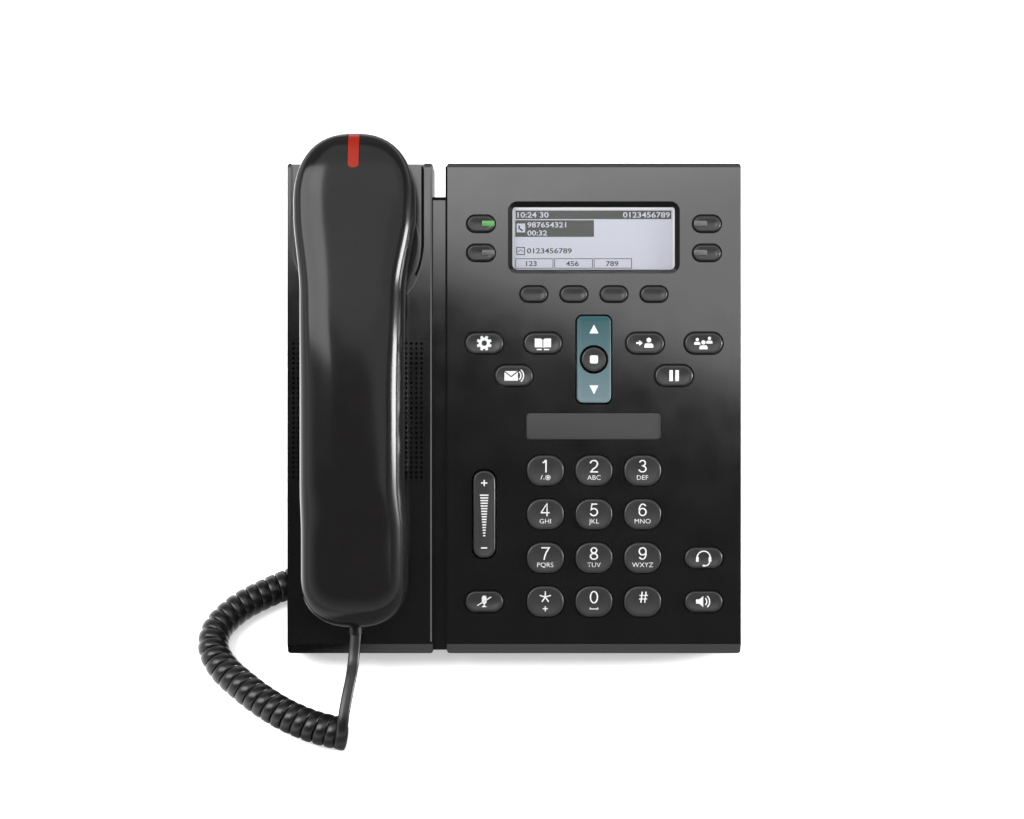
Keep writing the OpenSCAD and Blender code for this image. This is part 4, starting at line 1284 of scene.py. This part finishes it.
def drill(piece, middle, radius, low, high):
    """Cuts a round hole through a piece."""
    deselect()
    bpy.ops.mesh.primitive_cylinder_add(
        vertices=48, radius=radius * MM, depth=(high - low) * MM,
        location=(middle[0] * MM, middle[1] * MM, (low + high) / 2 * MM),
    )
    cut(piece, bpy.context.object)


def cut(piece, cutter):
    """Takes one piece out of another, and removes the cutter."""
    apply_modifier(piece, "BOOLEAN", operation="DIFFERENCE", solver="EXACT", object=cutter)
    bpy.data.objects.remove(cutter)
    done(piece, 40)


class DESKPHONE_OT_lamps(bpy.types.Operator):
    """Makes the lamp windows on the line keys and the label window"""

    bl_idname = "desk_phone.lamps"
    bl_label = "Lamps and label"

    def execute(self, context):
        for i in range(4):
            x, y = line_key_middle(i)
            x += 3.1 if i < 2 else -2.6
            lens = slab(f"line_lamp_{i + 1}", (x, y + 0.1), (5.2, 2.3), 0.6, FACE_LEVEL, FACE_LEVEL + 1.24)
            settle(lens, f"line_key_{i + 1}", "lamp_lit" if i == 0 else "lamp_unlit")
        label = slab("label_cover", (PANEL_X, LABEL_ROW), (57, 11.3), 1.65, 26.4, 27.6, edge=0.3)
        settle(label, "housing", "label_plastic", ("label_window",))
        return {"FINISHED"}


class DESKPHONE_OT_seams(bpy.types.Operator):
    """Makes the seam lines round the cradle and the rim of its ear pocket, as painted shade in the grooves
    and painted highlights along their edges
    """

    bl_idname = "desk_phone.seams"
    bl_label = "Seams"

    def execute(self, context):
        # Dark lines: painted shade in the cradle's grooves and on the ear pocket's wall.
        painted_shade_lines = [
            [box_outline(-28.85, 5.2, -28.0, 204.6)], [box_outline(-34.5, 5.2, -34.15, 191.6)],
            [box_outline(-34.2, 190.9, -28.4, 191.7)],
            [drawn_line(
                [(-38.5, 204.6), (-38.5, 171.6), (-38.95, 166.4), (-39.9, 162.4), (-41.4, 158.8)], 0.95
            )],
        ]
        # Light lines: painted highlights along a groove's edge and the ear pocket's rim.
        light = [
            [box_outline(-35.15, 5.2, -34.55, 204.6)],
            [drawn_line([(-38.0, 166.4), (-39.0, 162), (-40.6, 157.8), (-42.5, 154), (-45, 151)], 0.45)],
        ]
        for name, finish, shapes in (("seams", "seam_dark", painted_shade_lines), ("ridges", "seam_light", light)):
            settle(joined(name, flat_shapes(name, shapes, FACE_LEVEL + 0.03)), "housing", finish)
        return {"FINISHED"}


class DESKPHONE_OT_finishes(bpy.types.Operator):
    """Makes the finishes and puts them on the frame's own parts"""

    bl_idname = "desk_phone.finishes"
    bl_label = "Finishes"

    def execute(self, context):
        make_finishes(context.scene.phone_colours)
        for finish, nodes in CAD_FINISHES.items():
            for node in nodes:
                dress(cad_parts[node], finish)
        return {"FINISHED"}


class DESKPHONE_OT_stage(bpy.types.Operator):
    """Sets up the floor, the lamps and the camera"""

    bl_idname = "desk_phone.stage"
    bl_label = "Stage"

    def execute(self, context):
        self.camera(context)
        self.floor()
        self.lamps()
        self.world(context)
        return {"FINISHED"}

    def camera(self, context):
        deselect()
        out = Vector((0, -math.sin(LEAN), math.cos(LEAN)))
        place = on_face(*CAMERA_OVER, FACE_LEVEL) + CAMERA_DISTANCE * out
        bpy.ops.object.camera_add(location=place, rotation=(LEAN, 0, 0))
        camera = bpy.context.object
        camera.name = "camera"
        camera.data.lens = CAMERA_LENS
        camera.data.sensor_width = 36
        camera.data.dof.use_dof = False
        context.scene.camera = camera

    def floor(self):
        deselect()
        bpy.ops.mesh.primitive_plane_add(size=6)
        floor = named("floor")
        made, tree, surface = material("pale_floor")
        surface.inputs["Roughness"].default_value = 0.9
        cloud = noise(tree, place_of(tree), 4, 3)
        path = tree.nodes.new("ShaderNodeLightPath").outputs
        shade = ramp(tree, cloud.outputs["Fac"], 0.3, 0.7, 0.80, 0.83)
        # Gloss sees the floor darker: painted shade in the reflections of the glossy parts.
        shade = maths(tree, "SUBTRACT", shade, maths(tree, "MULTIPLY", path["Is Glossy Ray"], 0.55))
        tree.links.new(shade, surface.inputs["Base Color"])
        # Gloss sees a bright strip of floor to the left of the phone: the floor glows there for glossy rays
        # only, a painted reflection in the glossy parts.
        across = axes_of(tree)["X"]
        painted_glossy_glow = maths(tree, "MULTIPLY", ramp(tree, across, -0.1, -0.13, 0, 2.4), path["Is Glossy Ray"])
        painted_glossy_glow = maths(tree, "MULTIPLY", painted_glossy_glow, ramp(tree, across, -0.16, -0.3, 1, 0.4))
        seen = maths(tree, "MULTIPLY", path["Is Camera Ray"], 0.45)
        glow = tree.nodes.new("ShaderNodeEmission")
        tree.links.new(maths(tree, "ADD", painted_glossy_glow, seen), glow.inputs["Strength"])
        both = tree.nodes.new("ShaderNodeAddShader")
        tree.links.new(surface.outputs[0], both.inputs[0])
        tree.links.new(glow.outputs[0], both.inputs[1])
        tree.links.new(both.outputs[0], tree.nodes["Material Output"].inputs["Surface"])
        floor.data.materials.append(made)

    def lamps(self):
        for name, at, aim, rise, size, power in LAMPS:
            deselect()
            bpy.ops.object.light_add(type="AREA", location=on_face(*at))
            lamp = bpy.context.object
            lamp.name = name
            lamp.data.shape = "RECTANGLE"
            lamp.data.size, lamp.data.size_y = size
            lamp.data.energy = power
            back = (on_face(*at) - on_face(*aim)).normalized()
            up = FACE.to_3x3() @ Vector(rise)
            side = up.cross(back).normalized()
            facing = Matrix((side, back.cross(side), back)).transposed()
            lamp.rotation_euler = facing.to_euler()
        spared = bpy.data.collections.new("spared_by_left_panel")
        for node in SPARED_BY_LEFT_PANEL:
            spared.objects.link(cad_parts[node])
        for piece in spared.collection_objects:
            piece.light_linking.link_state = "EXCLUDE"
        bpy.data.objects["left_panel"].light_linking.receiver_collection = spared

    def world(self, context):
        """Dim light all round; a camera ray sees white, and gloss sees white low down and dark overhead."""
        world = bpy.data.worlds.new("studio")
        context.scene.world = world
        world.use_nodes = True
        tree = world.node_tree
        light = tree.nodes["Background"]
        light.inputs["Color"].default_value = (1, 1, 1, 1)
        path = tree.nodes.new("ShaderNodeLightPath").outputs
        axes = axes_of(tree, "Generated")
        low_down = maths(
            tree, "ADD", ramp(tree, axes["Z"], 0.1, 0.45, 2.2, 0.06),
            ramp(tree, axes["Y"], 0.2, 0.7, 0.0, 0.6),
        )
        shown = maths(tree, "ADD", path["Is Glossy Ray"], path["Is Transmission Ray"], clamp=True)
        strength = maths(
            tree, "ADD", maths(tree, "MULTIPLY", low_down, shown),
            maths(tree, "MULTIPLY", maths(tree, "SUBTRACT", 1.0, shown), WORLD_LIGHT),
        )
        tree.links.new(maths(tree, "MAXIMUM", strength, path["Is Camera Ray"]), light.inputs["Strength"])


OPERATORS = (
    DESKPHONE_OT_finishes,
    DESKPHONE_OT_cords,
    DESKPHONE_OT_handset,
    DESKPHONE_OT_keys,
    DESKPHONE_OT_rockers,
    DESKPHONE_OT_display,
    DESKPHONE_OT_lamps,
    DESKPHONE_OT_seams,
    DESKPHONE_OT_stage,
)


class DESKPHONE_PT_panel(bpy.types.Panel):
    """Lists the phone's pieces, sizes and colours"""

    bl_idname = "DESKPHONE_PT_panel"
    bl_label = "Desk IP Phone"
    bl_space_type = "VIEW_3D"
    bl_region_type = "UI"
    bl_category = "Desk Phone"

    def draw(self, context):
        layout = self.layout
        for operator in OPERATORS:
            layout.operator(operator.bl_idname)
        for settings in (context.scene.phone_sizes, context.scene.phone_colours):
            box = layout.box()
            for name in settings.__annotations__:
                box.prop(settings, name)


CLASSES = (PhoneSizes, PhoneColours, *OPERATORS, DESKPHONE_PT_panel)


def register():
    for cls in CLASSES:
        bpy.utils.register_class(cls)
    bpy.types.Scene.phone_sizes = PointerProperty(type=PhoneSizes)
    bpy.types.Scene.phone_colours = PointerProperty(type=PhoneColours)


def unregister():
    del bpy.types.Scene.phone_colours
    del bpy.types.Scene.phone_sizes
    for cls in reversed(CLASSES):
        bpy.utils.unregister_class(cls)


def main():
    register()
    bpy.context.scene.view_settings.view_transform = "Standard"
    bpy.ops.desk_phone.stage()
    bpy.ops.desk_phone.finishes()
    bpy.ops.desk_phone.cords()
    bpy.ops.desk_phone.handset()
    bpy.ops.desk_phone.keys()
    bpy.ops.desk_phone.rockers()
    bpy.ops.desk_phone.display()
    bpy.ops.desk_phone.lamps()
    bpy.ops.desk_phone.seams()


if __name__ == "__main__":
    main()
